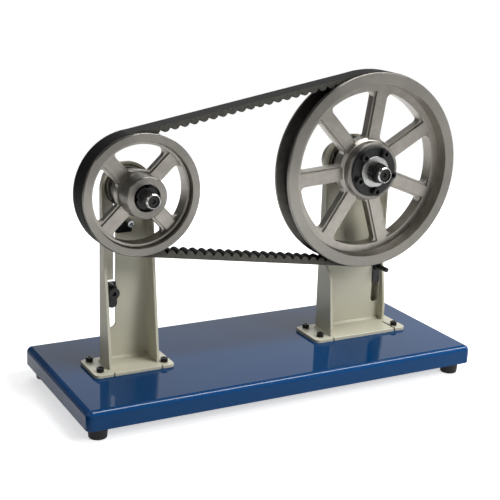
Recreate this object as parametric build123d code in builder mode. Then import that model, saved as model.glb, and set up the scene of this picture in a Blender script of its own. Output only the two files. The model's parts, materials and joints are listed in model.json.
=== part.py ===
"""Belt pulley demonstration model: two spoked pulleys on folded columns, joined by a cogged belt.

Frame: X along the base to the right, Y from front to back, Z up.
The origin is the middle of the whole model's width and depth, on the surface that the rubber
feet stand on. The large pulley overhangs the base, so the base's own middle is at base_x. Millimetres.
"""
import os
from dataclasses import dataclass
from math import acos, cos, pi, radians, sin, tan

from build123d import *

os.makedirs("parts", exist_ok=True)

# General clearances
fit_clearance = 0.03
screw_clearance = 0.3
running_clearance = 0.3
hex_ratio = 2 / 3 ** 0.5
socket_depth_ratio = 0.55
head_edge_ratio = 0.12
thread_chamfer_ratio = 0.2
nut_crown_ratio = 0.54
nut_crown_angle = 20.0
rib_draft_angle = 12.0
washer_chamfer_ratio = 0.2

# Base tray
base_length = 500.0
base_depth = 214.0
base_height = 22.0
base_sheet = 2.5
base_edge_radius = 6.5
base_corner_radius = 7.0
gusset_size = 38.0
gusset_thickness = 3.0
gusset_cut = 10.0

# Rubber feet and their screws
foot_height = 15.0
foot_top_radius = 11.5
foot_floor_radius = 10.0
foot_inset = 18.0
foot_edge_radius = 1.2
foot_counterbore_radius = 6.0
foot_counterbore_depth = 6.0

# M5 hardware of the feet and the column feet
m5_radius = 2.5
m5_head_radius = 4.25
m5_head_height = 5.0
m5_socket_flats = 4.0
m5_nut_flats = 8.0
m5_nut_height = 4.0
foot_screw_spare = 1.5

# Column feet
plate_thickness = 4.0
plate_depth = 54.0
plate_y = 1.5
plate_corner_radius = 6.0
plate_edge_chamfer = 0.6
mount_inset_y = 9.5
mount_offset_y = 1.5
backing_thickness = 4.0
backing_margin = 3.0
mount_screw_spare = 1.5
relief_width = 1.6
relief_depth = 3.0
left_plate_near_margin = 21.0
left_plate_far_margin = 15.0
left_mount_inset = 9.5
right_plate_near_margin = 23.5
right_plate_far_margin = 11.5
right_mount_inset = 11.5
right_slit_inset = 5.7
right_slit_width = 2.5
right_slit_length = 29.0

# Folded columns; heights are above the foot plates, reaches to the sides are from the shaft
column_sheet = 3.0
column_rear_y = 21.0
column_bend_radius = 4.6
column_top_front_y = 12.5
left_reach = 30.5
left_corner_radius = 30.0
left_top_flat = 1.0
left_top_rise = 28.5
left_front_y = -14.0
left_knee_y = 3.0
left_knee_height = 126.0
right_reach_near = 39.0
right_reach_far = 59.0
right_corner_radius = 35.5
right_top_flat = 3.0
right_top_rise = 37.0
right_front_y = -20.0
right_shoulder_y = -12.0
right_shoulder_height = 72.0
right_knee_y = 1.0
right_knee_height = 87.0
weld_leg = 3.0

# Shallow flange along the right column's far side, which fades out upwards
return_foot_y = 10.0
return_foot_height = 4.0
return_front_y = 7.5
return_low_height = 22.0
return_middle_y = 16.0
return_middle_height = 75.0
return_top_y = 17.0
return_top_height = 126.0
return_fade_x = 40.0

# Shaft centres above the foot plates, and the wheels' place across the base
left_shaft_from_middle = -159.0
left_shaft_height = 203.5
right_shaft_from_middle = 138.5
right_shaft_height = 209.0
rim_front_y = -35.0
rim_width = 33.0

# Belt and belt groove
belt_top_width = 25.0
belt_body_thickness = 4.6
cog_depth = 3.9
cog_count = 102
cog_root_share = 0.17
cog_spare = 1.0
belt_proud = 0.6
groove_half_angle = 18.0
groove_depth = 9.5
rim_edge_chamfer = 0.8

# Small pulley
small_window_radius = 55.3
small_ledge_width = 2.7
small_land_step = 1.3
small_land_width = 8.7
small_ledge_depth = 6.5
small_spoke_count = 4
small_spoke_phase = 44.0
small_spoke_width = 18.5
small_rib_width = 14.0
small_rib_height = 2.2
small_rib_depth = 10.0
small_spoke_thickness = 10.0
small_window_corner = 6.0
small_hub_radius = 23.3
small_hub_front = 11.5
small_hub_rear_y = 1.0
small_hub_skirt_radius = 25.5
small_recess_radius = 15.3
small_recess_depth = 9.0
small_rear_width = 5.7
small_rear_depth = 9.0
small_hub_chamfer = 1.0

# Large pulley
large_window_radius = 94.0
large_ledge_width = 8.8
large_land_step = 2.2
large_land_width = 13.0
large_ledge_depth = 14.0
large_spoke_count = 7
large_spoke_phase = 30.0
large_spoke_width = 19.5
large_rib_width = 15.0
large_rib_height = 2.2
large_rib_depth = 14.0
large_spoke_thickness = 12.5
large_window_corner = 6.5
large_hub_radius = 34.8
large_hub_front = -3.0
large_hub_rear_y = 1.0
large_hub_skirt_radius = 38.5
large_rear_width = 2.5
large_rear_depth = 2.5
large_hub_chamfer = 1.0

# Keyed bush of the large pulley
bush_flange_radius = 30.5
bush_flange_thickness = 5.0
bush_flange_seat = 2.5
bush_front_radius = 19.8
bush_taper_angle = 4.0
bush_length = 30.0
bush_screw_count = 5
bush_screw_phase = 60.0
bush_screw_circle = 24.3
bush_screw_length = 14.0
m6_radius = 3.0
m6_head_radius = 5.0
m6_head_height = 6.0
m6_socket_flats = 5.0

# Shafts, nuts and washers
left_tip_y = -64.0
right_tip_y = -58.0
shaft_tip_chamfer = 1.2
tip_counterbore_depth = 6.0
tip_wall = 1.6
end_screw_thread_radius = 4.0
end_screw_sunk = 2.2
end_screw_head_height = 3.4
end_screw_flats = 6.0
end_screw_length = 16.0
shoulder_height = 2.6
left_shaft_radius = 8.5
right_shaft_radius = 10.0
right_nose_radius = 9.5
small_washer_radius = 14.6
small_washer_thickness = 2.0
small_nut_radius = 12.8
small_nut_height = 7.0
large_washer_radius = 18.8
large_washer_thickness = 3.0
large_nut_radius = 12.0
large_nut_height = 8.0
jam_nut_radius = 11.0
jam_nut_height = 7.0
jam_groove_pitch = 2.0
jam_groove_depth = 0.6
nut_slot_width = 4.0
nut_slot_depth = 1.6
left_key_width = 5.0
right_key_width = 6.0
key_length = 24.0
key_front_y = -32.0
key_sunk = 0.6

# Bearings and their housings
bearing_front_y = 8.0
bearing_pitch_y = 27.0
left_bearing_outer = 15.0
left_bearing_width = 7.0
left_ball_circle = 11.75
left_ball_radius = 1.8
left_ball_count = 13
left_ring_gap = 2.2
right_bearing_outer = 18.5
right_bearing_width = 9.0
right_ball_circle = 14.25
right_ball_radius = 2.38
right_ball_count = 12
right_ring_gap = 2.8
ball_clearance = 0.12
cage_thickness = 1.2
cage_width_ratio = 0.7
circlip_thickness = 1.2
circlip_depth = 0.9
circlip_height = 2.6
circlip_gap_angle = 40.0
housing_nose_y = 4.5
housing_flange_thickness = 6.0
housing_land = 1.6
housing_tail = 5.0
housing_edge_chamfer = 0.8
left_housing_flange = 23.8
left_housing_nose = 16.6
left_housing_barrel = 17.6
left_housing_screw_circle = 20.3
left_housing_screw_phase = 45.0
m4_radius = 2.0
m4_head_radius = 3.5
m4_head_height = 4.0
m4_socket_flats = 3.0
right_housing_flange = 32.3
right_housing_nose = 21.9
right_housing_barrel = 22.4
right_housing_screw_circle = 27.2
right_housing_screw_phase = 60.0
housing_screw_count = 4
cap_thickness = 2.5
cap_wall = 2.0

# Carrier plates behind the webs; heights are above the foot plates
carrier_thickness = 4.0
carrier_margin = 5.0
left_carrier_bottom = 94.5
left_carrier_notch_x = -12.7
left_carrier_notch_width = 7.7
left_carrier_notch_top = 193.0
right_carrier_bottom = 122.0
height_screw_x = 3.6
height_screw_drop = 42.0
height_screw_head_height = 8.0
lock_plate_x = -2.5
lock_plate_width = 20.0
lock_plate_height = 13.0
lock_plate_drop = 46.5
lock_plate_thickness = 3.0
lock_plate_radius = 2.0

# Sliding clamps in the columns' webs; heights are above the foot plates
block_clearance = 0.3
block_flange_thickness = 3.6
block_flange_corner = 2.0
clamp_screw_spare = 1.5
m6_nut_flats = 10.0
m6_nut_height = 5.0
left_slot_x = -16.5
left_slot_width = 12.0
left_slot_low = 38.0
left_slot_high = 190.0
left_block_middle = 77.4
left_block_height = 28.0
left_block_stand = 4.5
left_block_flange = 17.0
left_thread_rise = 4.0
clamp_head_radius = 7.0
clamp_head_height = 5.5
right_slot_inset = 10.1
right_slot_width = 10.5
right_slot_low = 23.0
right_slot_high = 112.0
right_block_middle = 71.5
right_block_height = 47.0
right_block_stand = 1.5
right_block_flange = 14.0
right_thread_rise = 0.5
stud_tip_y = -6.5
stud_head_height = 4.0
cover_width = 18.6
cover_sheet = 1.5
cover_rear_y = 33.0
cover_margin = 5.0
cover_edge_radius = 2.0
witness_slot_x = -24.0
witness_slot_width = 4.0
witness_slot_height = 10.0
witness_slot_middles = (41.0, 63.0)

# Places worked out from the sizes above
small_ledge_radius = small_window_radius + small_ledge_width
small_land_radius = small_ledge_radius + small_land_step
small_rim_radius = small_land_radius + small_land_width
large_ledge_radius = large_window_radius + large_ledge_width
large_land_radius = large_ledge_radius + large_land_step
large_rim_radius = large_land_radius + large_land_width
base_overhang = right_shaft_from_middle + large_rim_radius + belt_proud - base_length / 2
base_x = -base_overhang / 2
left_shaft_x = base_x + left_shaft_from_middle
right_shaft_x = base_x + right_shaft_from_middle
left_plate_width = 2 * left_reach + left_plate_near_margin + left_plate_far_margin
left_plate_x = left_shaft_x + (left_plate_far_margin - left_plate_near_margin) / 2
left_mount_pitch_x = left_plate_width - 2 * left_mount_inset
right_plate_near = right_reach_near + right_plate_near_margin
right_plate_far = right_reach_far + right_plate_far_margin
right_plate_width = right_plate_near + right_plate_far
right_plate_x = right_shaft_x + (right_plate_far - right_plate_near) / 2
right_mount_pitch_x = right_plate_width - 2 * right_mount_inset
right_slot_x = right_reach_far - right_slot_inset
base_top_z = foot_height + base_height
column_bottom_z = base_top_z + plate_thickness
left_shaft_z = column_bottom_z + left_shaft_height
right_shaft_z = column_bottom_z + right_shaft_height
plate_front_y = plate_y - plate_depth / 2
web_front_y = column_rear_y - column_sheet
rim_rear_y = rim_front_y + rim_width
groove_y = (rim_front_y + rim_rear_y) / 2
carrier_rear_y = column_rear_y + carrier_thickness
belt_thickness = belt_body_thickness + cog_depth


@dataclass(frozen=True)
class Bearing:
    """Sizes of one deep groove ball bearing."""

    bore: float
    outer: float
    width: float
    ball_circle: float
    ball_radius: float
    ball_count: int
    ring_gap: float

    @property
    def inner_ring(self) -> float:
        """Outer radius of the inner ring."""
        return self.ball_circle - self.ring_gap / 2

    @property
    def outer_ring(self) -> float:
        """Inner radius of the outer ring."""
        return self.ball_circle + self.ring_gap / 2

    @property
    def fronts(self) -> tuple:
        """Y of the front faces of the two bearings of a housing."""
        return (bearing_front_y, bearing_front_y + bearing_pitch_y)

    @property
    def rear_y(self) -> float:
        """Y of the rear bearing's rear face."""
        return self.fronts[1] + self.width


@dataclass(frozen=True)
class Column:
    """Sizes and places of one column with its bearing housing and shaft."""

    side: str
    x: float
    z: float
    left_reach: float
    right_reach: float
    left_corner: float
    top_flat: float
    top_rise: float
    front_edge: tuple
    plate_x: float
    plate_width: float
    mount_pitch_x: float
    bearing: Bearing
    nose_radius: float
    tip_y: float
    key_width: float
    flange: float
    nose: float
    barrel: float
    screw_circle: float
    screw_phase: float
    screw_radius: float
    screw_head_radius: float
    screw_head_height: float
    screw_flats: float

    @property
    def right_corner(self) -> float:
        """Radius of the top's right corner."""
        return self.left_reach + self.right_reach - self.left_corner - self.top_flat

    @property
    def top_z(self) -> float:
        """Z of the column's top."""
        return self.z + self.top_rise

    @property
    def axis(self) -> Axis:
        """The shaft's axis, front to back."""
        return Axis((self.x, 0, self.z), (0, 1, 0))

    @property
    def housing_rear_y(self) -> float:
        """Y of the rear end of the bearing housing."""
        return self.bearing.rear_y + housing_tail


left_bearing = Bearing(
    left_shaft_radius, left_bearing_outer, left_bearing_width,
    left_ball_circle, left_ball_radius, left_ball_count, left_ring_gap)
right_bearing = Bearing(
    right_shaft_radius, right_bearing_outer, right_bearing_width,
    right_ball_circle, right_ball_radius, right_ball_count, right_ring_gap)

left = Column(
    "left", left_shaft_x, left_shaft_z, left_reach, left_reach, left_corner_radius, left_top_flat,
    left_top_rise, ((left_front_y, 0), (left_knee_y, left_knee_height)),
    left_plate_x, left_plate_width, left_mount_pitch_x,
    left_bearing, left_shaft_radius, left_tip_y, left_key_width,
    left_housing_flange, left_housing_nose, left_housing_barrel,
    left_housing_screw_circle, left_housing_screw_phase,
    m4_radius, m4_head_radius, m4_head_height, m4_socket_flats)
right = Column(
    "right", right_shaft_x, right_shaft_z, right_reach_near, right_reach_far, right_corner_radius,
    right_top_flat, right_top_rise,
    ((right_front_y, 0), (right_shoulder_y, right_shoulder_height), (right_knee_y, right_knee_height)),
    right_plate_x, right_plate_width, right_mount_pitch_x,
    right_bearing, right_nose_radius, right_tip_y, right_key_width,
    right_housing_flange, right_housing_nose, right_housing_barrel,
    right_housing_screw_circle, right_housing_screw_phase,
    m6_radius, m6_head_radius, m6_head_height, m6_socket_flats)


def front_plane(x: float, y: float, z: float) -> Plane:
    """A plane at y that faces the front: its own x and y are X and Z."""
    return Plane(origin=(x, y, z), x_dir=(1, 0, 0), z_dir=(0, -1, 0))


def turning_plane(column: Column) -> Plane:
    """The level plane through a shaft's axis: its own x is the radius and its y is Y."""
    return Plane(origin=(column.x, 0, column.z), x_dir=(1, 0, 0), z_dir=(0, 0, 1))


def forward(x: float, y: float, z: float) -> Location:
    """A place whose fastener has its head to the front."""
    return front_plane(x, y, z).location


def on_circle(column: Column, radius: float, count: int, phase: float, y: float) -> list:
    """Places on a circle about a shaft's axis, heads to the front."""
    angles = [radians(phase + 360 * i / count) for i in range(count)]
    return [forward(column.x + radius * cos(a), y, column.z + radius * sin(a)) for a in angles]


def hex_points(flats: float) -> float:
    """Corner radius of a hexagon from its width across flats."""
    return flats / 2 * hex_ratio


def socket_screw(thread: float, length: float, head: float, height: float, flats: float) -> Part:
    """A cap screw whose head stands on the plane z = 0 and whose thread goes down."""
    with BuildPart() as screw:
        Cylinder(head, height, align=(Align.CENTER, Align.CENTER, Align.MIN))
        fillet(screw.edges().group_by(Axis.Z)[-1], height * head_edge_ratio)
        with BuildSketch(Plane.XY.offset(height)):
            RegularPolygon(hex_points(flats), 6)
        extrude(amount=-height * socket_depth_ratio, mode=Mode.SUBTRACT)
        Cylinder(thread, length, align=(Align.CENTER, Align.CENTER, Align.MAX))
        chamfer(screw.edges().group_by(Axis.Z)[0], thread * thread_chamfer_ratio)
    return screw.part


def hex_nut(thread: float, flats: float, height: float) -> Part:
    """A nut that hangs below the plane z = 0."""
    with BuildPart() as nut:
        with BuildSketch():
            RegularPolygon(hex_points(flats), 6)
            Circle(thread + fit_clearance, mode=Mode.SUBTRACT)
        extrude(amount=-height)
        with BuildSketch(Plane.XY) as crown:
            Circle(flats * nut_crown_ratio)
        extrude(crown.sketch, amount=-height, taper=-nut_crown_angle, mode=Mode.INTERSECT)
    return nut.part


def foot_places() -> list:
    """X and Y of the four feet."""
    x = base_length / 2 - foot_inset
    y = base_depth / 2 - foot_inset
    return [(base_x + sx * x, sy * y) for sx in (-1, 1) for sy in (-1, 1)]


def mount_places(column: Column) -> list:
    """X and Y of the screws of a foot plate; the right column stands in its fourth screw's place."""
    x = column.mount_pitch_x / 2
    y = plate_depth / 2 - mount_inset_y
    corners = [(-1, -1), (-1, 1), (1, -1), (1, 1)]
    used = corners if column is left else corners[:-1]
    return [(column.plate_x + sx * x, plate_y + mount_offset_y + sy * y) for sx, sy in used]


def make_base_tray() -> None:
    """Folded sheet tray, open underneath, drilled for both columns."""
    with BuildPart() as tray:
        with BuildSketch(Plane.XY.offset(foot_height)):
            with Locations((base_x, 0)):
                RectangleRounded(base_length, base_depth, base_corner_radius)
        extrude(amount=base_height)
        fillet(tray.edges().group_by(Axis.Z)[-1], base_edge_radius)
        offset(amount=-base_sheet, openings=tray.faces().sort_by(Axis.Z)[0])
        with BuildSketch(Plane.XY.offset(base_top_z)):
            with Locations(*mount_places(left), *mount_places(right)):
                Circle(m5_radius + screw_clearance)
        extrude(amount=-base_sheet, mode=Mode.SUBTRACT)
    tray.part.label = "base_tray"
    export_step(tray.part, "parts/base_tray.step")


def make_foot_gussets() -> None:
    """Corner plates inside the tray that hold the rubber feet."""
    reach_x = base_length / 2 - base_sheet
    reach_y = base_depth / 2 - base_sheet
    with BuildPart() as gussets:
        for sx in (-1, 1):
            for sy in (-1, 1):
                wall_x = base_x + sx * reach_x
                inner_x = wall_x - sx * gusset_size
                inner_y = sy * (reach_y - gusset_size)
                cut_x = inner_x + sx * gusset_cut
                cut_y = inner_y + sy * gusset_cut
                corner = base_corner_radius - base_sheet
                round_x = wall_x - sx * corner
                round_y = sy * (reach_y - corner)
                with BuildSketch(Plane.XY.offset(foot_height)):
                    with BuildLine():
                        Polyline(
                            (round_x, sy * reach_y), (inner_x, sy * reach_y), (inner_x, cut_y),
                            (cut_x, inner_y), (wall_x, inner_y), (wall_x, round_y))
                        RadiusArc((wall_x, round_y), (round_x, sy * reach_y), -sx * sy * corner)
                    make_face()
                extrude(amount=gusset_thickness)
        with BuildSketch(Plane.XY.offset(foot_height)):
            with Locations(*foot_places()):
                Circle(m5_radius + screw_clearance)
        extrude(amount=gusset_thickness, mode=Mode.SUBTRACT)
    gussets.part.label = "foot_gussets"
    export_step(gussets.part, "parts/foot_gussets.step")


def make_rubber_feet() -> None:
    """Four conical rubber feet with a counterbore for the screw head."""
    with BuildPart() as foot:
        with BuildSketch(Plane.XZ):
            with BuildLine():
                Polyline(
                    (m5_radius + screw_clearance, foot_height), (foot_top_radius, foot_height),
                    (foot_floor_radius, 0), (foot_counterbore_radius, 0),
                    (foot_counterbore_radius, foot_counterbore_depth),
                    (m5_radius + screw_clearance, foot_counterbore_depth), close=True)
            make_face()
        revolve(axis=Axis.Z)
        fillet(foot.edges().group_by(Axis.Z)[0].sort_by(SortBy.LENGTH)[-1], foot_edge_radius)
    with BuildPart() as feet:
        with Locations(*foot_places()):
            add(foot.part)
    feet.part.label = "rubber_feet"
    export_step(feet.part, "parts/rubber_feet.step")


def make_foot_screws() -> None:
    """Screws that go up through the rubber feet."""
    length = foot_height - foot_counterbore_depth + gusset_thickness + m5_nut_height + foot_screw_spare
    screw = socket_screw(m5_radius, length, m5_head_radius, m5_head_height, m5_socket_flats)
    with BuildPart() as screws:
        for x, y in foot_places():
            with Locations(Location((x, y, foot_counterbore_depth), (180, 0, 0))):
                add(screw)
    screws.part.label = "foot_screws"
    export_step(screws.part, "parts/foot_screws.step")


def make_foot_nuts() -> None:
    """Nuts of the foot screws, on top of the gussets."""
    nut = hex_nut(m5_radius, m5_nut_flats, m5_nut_height)
    with BuildPart() as nuts:
        for x, y in foot_places():
            with Locations((x, y, foot_height + gusset_thickness + m5_nut_height)):
                add(nut)
    nuts.part.label = "foot_nuts"
    export_step(nuts.part, "parts/foot_nuts.step")


def make_foot_plate(column: Column) -> None:
    """Foot plate that the column stands on, with reliefs where the folds meet."""
    with BuildPart() as plate:
        with BuildSketch(Plane.XY.offset(base_top_z)):
            with Locations((column.plate_x, plate_y)):
                RectangleRounded(column.plate_width, plate_depth, plate_corner_radius)
        extrude(amount=plate_thickness)
        chamfer(plate.edges().group_by(Axis.Z)[-1], plate_edge_chamfer)
        with BuildSketch(Plane.XY.offset(base_top_z)):
            with Locations((column.x - column.left_reach + column_sheet / 2, plate_front_y)):
                Rectangle(relief_width, 2 * relief_depth)
            if column is left:
                with Locations((column.x + column.right_reach - column_sheet / 2, plate_front_y)):
                    Rectangle(relief_width, 2 * relief_depth)
            else:
                with Locations((column.x + column.right_reach - right_slit_inset, plate_front_y)):
                    Rectangle(right_slit_width, 2 * right_slit_length)
            with Locations(*mount_places(column)):
                Circle(m5_radius + screw_clearance)
        extrude(amount=plate_thickness, mode=Mode.SUBTRACT)
    plate.part.label = f"{column.side}_foot_plate"
    export_step(plate.part, f"parts/{plate.part.label}.step")


def make_mount_screws(column: Column) -> None:
    """Cap screws that hold the foot plate down on the tray."""
    length = plate_thickness + base_sheet + backing_thickness + m5_nut_height + mount_screw_spare
    screw = socket_screw(m5_radius, length, m5_head_radius, m5_head_height, m5_socket_flats)
    with BuildPart() as screws:
        for x, y in mount_places(column):
            with Locations((x, y, column_bottom_z)):
                add(screw)
    screws.part.label = f"{column.side}_mount_screws"
    export_step(screws.part, f"parts/{screws.part.label}.step")


def make_backing_plate(column: Column) -> None:
    """Steel plate under the tray that spreads the load of the column's screws."""
    top_z = base_top_z - base_sheet
    with BuildPart() as backing:
        with BuildSketch(Plane.XY.offset(top_z)):
            with Locations((column.plate_x, plate_y)):
                RectangleRounded(
                    column.plate_width - 2 * backing_margin, plate_depth - 2 * backing_margin,
                    plate_corner_radius)
            with Locations(*mount_places(column)):
                Circle(m5_radius + screw_clearance, mode=Mode.SUBTRACT)
        extrude(amount=-backing_thickness)
    backing.part.label = f"{column.side}_backing_plate"
    export_step(backing.part, f"parts/{backing.part.label}.step")


def make_mount_nuts(column: Column) -> None:
    """Nuts under the backing plate."""
    nut = hex_nut(m5_radius, m5_nut_flats, m5_nut_height)
    with BuildPart() as nuts:
        for x, y in mount_places(column):
            with Locations((x, y, base_top_z - base_sheet - backing_thickness)):
                add(nut)
    nuts.part.label = f"{column.side}_mount_nuts"
    export_step(nuts.part, f"parts/{nuts.part.label}.step")


def outline(column: Column, inset: float, bottom: float) -> Sketch:
    """A column's front outline with its round top corners, drawn inside its outer edge by inset."""
    near = inset - column.left_reach
    far = column.right_reach - inset
    top = column.top_z - inset
    with BuildSketch() as front:
        with BuildLine():
            Polyline(
                (near, top - column.left_corner + inset), (near, bottom), (far, bottom),
                (far, top - column.right_corner + inset))
            Line((near + column.left_corner - inset, top), (far - column.right_corner + inset, top))
            for edge, radius, side in (
                    (near, column.left_corner - inset, -1), (far, column.right_corner - inset, 1)):
                centre = edge - side * radius
                slant = radius * cos(pi / 4)
                ThreePointArc(
                    (edge, top - radius), (centre + side * slant, top - radius + slant), (centre, top))
        make_face()
    return front.sketch


def draw_arch(half_width: float, bottom: float, centre: float) -> None:
    """Draw a round-topped outline in the sketch that is open."""
    with Locations((0, bottom)):
        Rectangle(2 * half_width, centre - bottom, align=(Align.CENTER, Align.MIN))
    with Locations((0, centre)):
        Circle(half_width)


def draw_slot(width: float, low: float, high: float) -> None:
    """Draw an upright slot with round ends in the sketch that is open."""
    with Locations((0, (low + high) / 2)):
        SlotOverall(high - low, width, rotation=90)


def far_flange_waste() -> Part:
    """What is cut off the flange on the right column's far side."""
    bottom = column_bottom_z
    fade_z = bottom + return_top_height
    clear_y = right_front_y - column_sheet
    far_x = right.x + right.right_reach
    with BuildPart() as waste:
        with BuildSketch(Plane.YZ.offset(far_x + column_sheet)):
            with BuildLine():
                Polyline(
                    (clear_y, bottom), (return_foot_y, bottom),
                    (return_front_y, bottom + return_foot_height),
                    (return_front_y, bottom + return_low_height),
                    (return_middle_y, bottom + return_middle_height), (return_top_y, fade_z),
                    (clear_y, fade_z), close=True)
            make_face()
        extrude(amount=-2 * column_bend_radius)
        with BuildSketch(Plane.XY.offset(fade_z)):
            with BuildLine():
                Polyline(
                    (right.x, clear_y), (right.x, column_top_front_y),
                    (right.x + return_fade_x, return_top_y), (far_x + column_sheet, return_top_y),
                    (far_x + column_sheet, clear_y), close=True)
            make_face()
        extrude(amount=right.top_z - fade_z)
    return waste.part


def make_column(column: Column) -> None:
    """Folded channel, open to the front, with a round top and a rim that gets shallower upwards."""
    depth = column_rear_y - min(y for y, height in column.front_edge)
    bottom = column_bottom_z
    with BuildPart() as cavity:
        with BuildSketch(front_plane(column.x, web_front_y, 0)):
            add(outline(column, column_sheet, bottom - column_bend_radius))
        extrude(amount=depth)
        rear = cavity.edges().group_by(Axis.Y)[-1]
        fillet(rear, column_bend_radius - column_sheet)
    with BuildPart() as channel:
        with BuildSketch(front_plane(column.x, column_rear_y, 0)):
            add(outline(column, 0, bottom))
        extrude(amount=depth)
        rear = channel.edges().group_by(Axis.Y)[-1]
        folded = rear.filter_by(lambda edge: edge.center().Z > bottom + column_sheet)
        fillet(folded, column_bend_radius)
        add(cavity.part, mode=Mode.SUBTRACT)
        with BuildSketch(Plane.YZ.offset(column.x - column.left_reach)):
            with BuildLine():
                Polyline(
                    *[(y, bottom + height) for y, height in column.front_edge],
                    (column_top_front_y, column.top_z), (column_rear_y, column.top_z),
                    (column_rear_y, bottom), close=True)
            make_face()
        extrude(amount=column.left_reach + column.right_reach, mode=Mode.INTERSECT)
        if column is right:
            add(far_flange_waste(), mode=Mode.SUBTRACT)
        with BuildSketch(front_plane(column.x, column_rear_y, 0)):
            with Locations((0, column.z)):
                Circle(column.barrel + screw_clearance)
            for place in on_circle(column, column.screw_circle, housing_screw_count, column.screw_phase, 0):
                with Locations((place.position.X - column.x, place.position.Z)):
                    Circle(column.screw_radius + screw_clearance)
            if column is left:
                with Locations((left_slot_x, 0)):
                    draw_slot(left_slot_width, bottom + left_slot_low, bottom + left_slot_high)
                with Locations((height_screw_x, column.z - height_screw_drop)):
                    Circle(m5_radius + screw_clearance)
            else:
                with Locations((right_slot_x, 0)):
                    draw_slot(right_slot_width, bottom + right_slot_low, bottom + right_slot_high)
                for middle in witness_slot_middles:
                    with Locations((witness_slot_x, bottom + middle)):
                        SlotOverall(witness_slot_height, witness_slot_width, rotation=90)
        extrude(amount=column_sheet, mode=Mode.SUBTRACT)
    channel.part.label = f"{column.side}_column"
    export_step(channel.part, f"parts/{channel.part.label}.step")


def make_welds(column: Column) -> None:
    """Fillet welds inside the web and outside both sides, on the foot plate."""
    base = column_bottom_z
    inner_x = column.x - column.left_reach + column_bend_radius
    inner_width = column.left_reach + column.right_reach - 2 * column_bend_radius
    near_front_y = column.front_edge[0][0] + weld_leg
    far_front_y = near_front_y if column is left else return_foot_y
    rear_y = column_rear_y - column_bend_radius
    with BuildPart() as welds:
        with BuildSketch(Plane.YZ.offset(inner_x)):
            with BuildLine():
                Polyline(
                    (web_front_y, base), (web_front_y, base + weld_leg), (web_front_y - weld_leg, base),
                    close=True)
            make_face()
        extrude(amount=inner_width)
        sides = ((-1, column.left_reach, near_front_y), (1, column.right_reach, far_front_y))
        for sign, reach, front_y in sides:
            wall_x = column.x + sign * reach
            with BuildSketch(Plane(origin=(wall_x, rear_y, base), x_dir=(1, 0, 0), z_dir=(0, -1, 0))):
                with BuildLine():
                    Polyline((0, 0), (0, weld_leg), (sign * weld_leg, 0), close=True)
                make_face()
            extrude(amount=rear_y - front_y)
    welds.part.label = f"{column.side}_welds"
    export_step(welds.part, f"parts/{welds.part.label}.step")


def make_carrier_plate(column: Column) -> None:
    """Plate behind the web that the housing screws thread into."""
    half = column.left_reach - carrier_margin
    bottom = column_bottom_z + (left_carrier_bottom if column is left else right_carrier_bottom)
    with BuildPart() as carrier:
        with BuildSketch(front_plane(column.x, carrier_rear_y, 0)):
            draw_arch(half, bottom, column.z)
            with Locations((0, column.z)):
                Circle(column.barrel + screw_clearance, mode=Mode.SUBTRACT)
            for place in on_circle(column, column.screw_circle, housing_screw_count, column.screw_phase, 0):
                with Locations((place.position.X - column.x, place.position.Z)):
                    Circle(column.screw_radius + fit_clearance, mode=Mode.SUBTRACT)
            if column is left:
                notch = column_bottom_z + left_carrier_notch_top - bottom
                with Locations((left_carrier_notch_x, bottom)):
                    Rectangle(left_carrier_notch_width, notch, align=Align.MIN, mode=Mode.SUBTRACT)
                with Locations((height_screw_x, column.z - height_screw_drop)):
                    Circle(m5_radius + fit_clearance, mode=Mode.SUBTRACT)
        extrude(amount=carrier_thickness)
    carrier.part.label = f"{column.side}_carrier_plate"
    export_step(carrier.part, f"parts/{carrier.part.label}.step")


def make_lock_plate() -> None:
    """Black plate under the head of the left height screw."""
    with BuildPart() as lock_plate:
        with BuildSketch(front_plane(left.x, web_front_y, left.z)):
            with Locations((lock_plate_x, -lock_plate_drop)):
                RectangleRounded(lock_plate_width, lock_plate_height, lock_plate_radius)
            with Locations((height_screw_x, -height_screw_drop)):
                Circle(m5_radius + screw_clearance, mode=Mode.SUBTRACT)
        extrude(amount=lock_plate_thickness)
    lock_plate.part.label = "left_lock_plate"
    export_step(lock_plate.part, "parts/left_lock_plate.step")


def make_height_screw() -> None:
    """Bright cap screw that locks the left carrier plate to the web."""
    length = lock_plate_thickness + column_sheet + carrier_thickness + clamp_screw_spare
    screw = socket_screw(m5_radius, length, m5_head_radius, height_screw_head_height, m5_socket_flats)
    face_y = web_front_y - lock_plate_thickness
    with BuildPart() as height_screw:
        with Locations(forward(left.x + height_screw_x, face_y, left.z - height_screw_drop)):
            add(screw)
    height_screw.part.label = "left_height_screw"
    export_step(height_screw.part, "parts/left_height_screw.step")


def make_bearing_housing(column: Column) -> None:
    """Flanged housing that holds two bearings, one at each end."""
    bearing = column.bearing
    bore = bearing.outer + fit_clearance
    land = bearing.outer - housing_land
    front, rear = bearing.fronts
    end = column.housing_rear_y
    edge = housing_edge_chamfer
    with BuildPart() as housing:
        with BuildSketch(turning_plane(column)):
            with BuildLine():
                Polyline(
                    (bore, housing_nose_y), (column.nose - edge, housing_nose_y),
                    (column.nose, housing_nose_y + edge),
                    (column.nose, web_front_y - housing_flange_thickness),
                    (column.flange - edge, web_front_y - housing_flange_thickness),
                    (column.flange, web_front_y - housing_flange_thickness + edge),
                    (column.flange, web_front_y), (column.barrel, web_front_y),
                    (column.barrel, end - edge), (column.barrel - edge, end), (bore, end),
                    (bore, rear), (land, rear), (land, front + bearing.width),
                    (bore, front + bearing.width), close=True)
            make_face()
        revolve(axis=column.axis)
        with BuildSketch(front_plane(column.x, web_front_y, 0)):
            for place in on_circle(column, column.screw_circle, housing_screw_count, column.screw_phase, 0):
                with Locations((place.position.X - column.x, place.position.Z)):
                    Circle(column.screw_radius + screw_clearance)
        extrude(amount=housing_flange_thickness, mode=Mode.SUBTRACT)
    housing.part.label = f"{column.side}_bearing_housing"
    export_step(housing.part, f"parts/{housing.part.label}.step")


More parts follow.
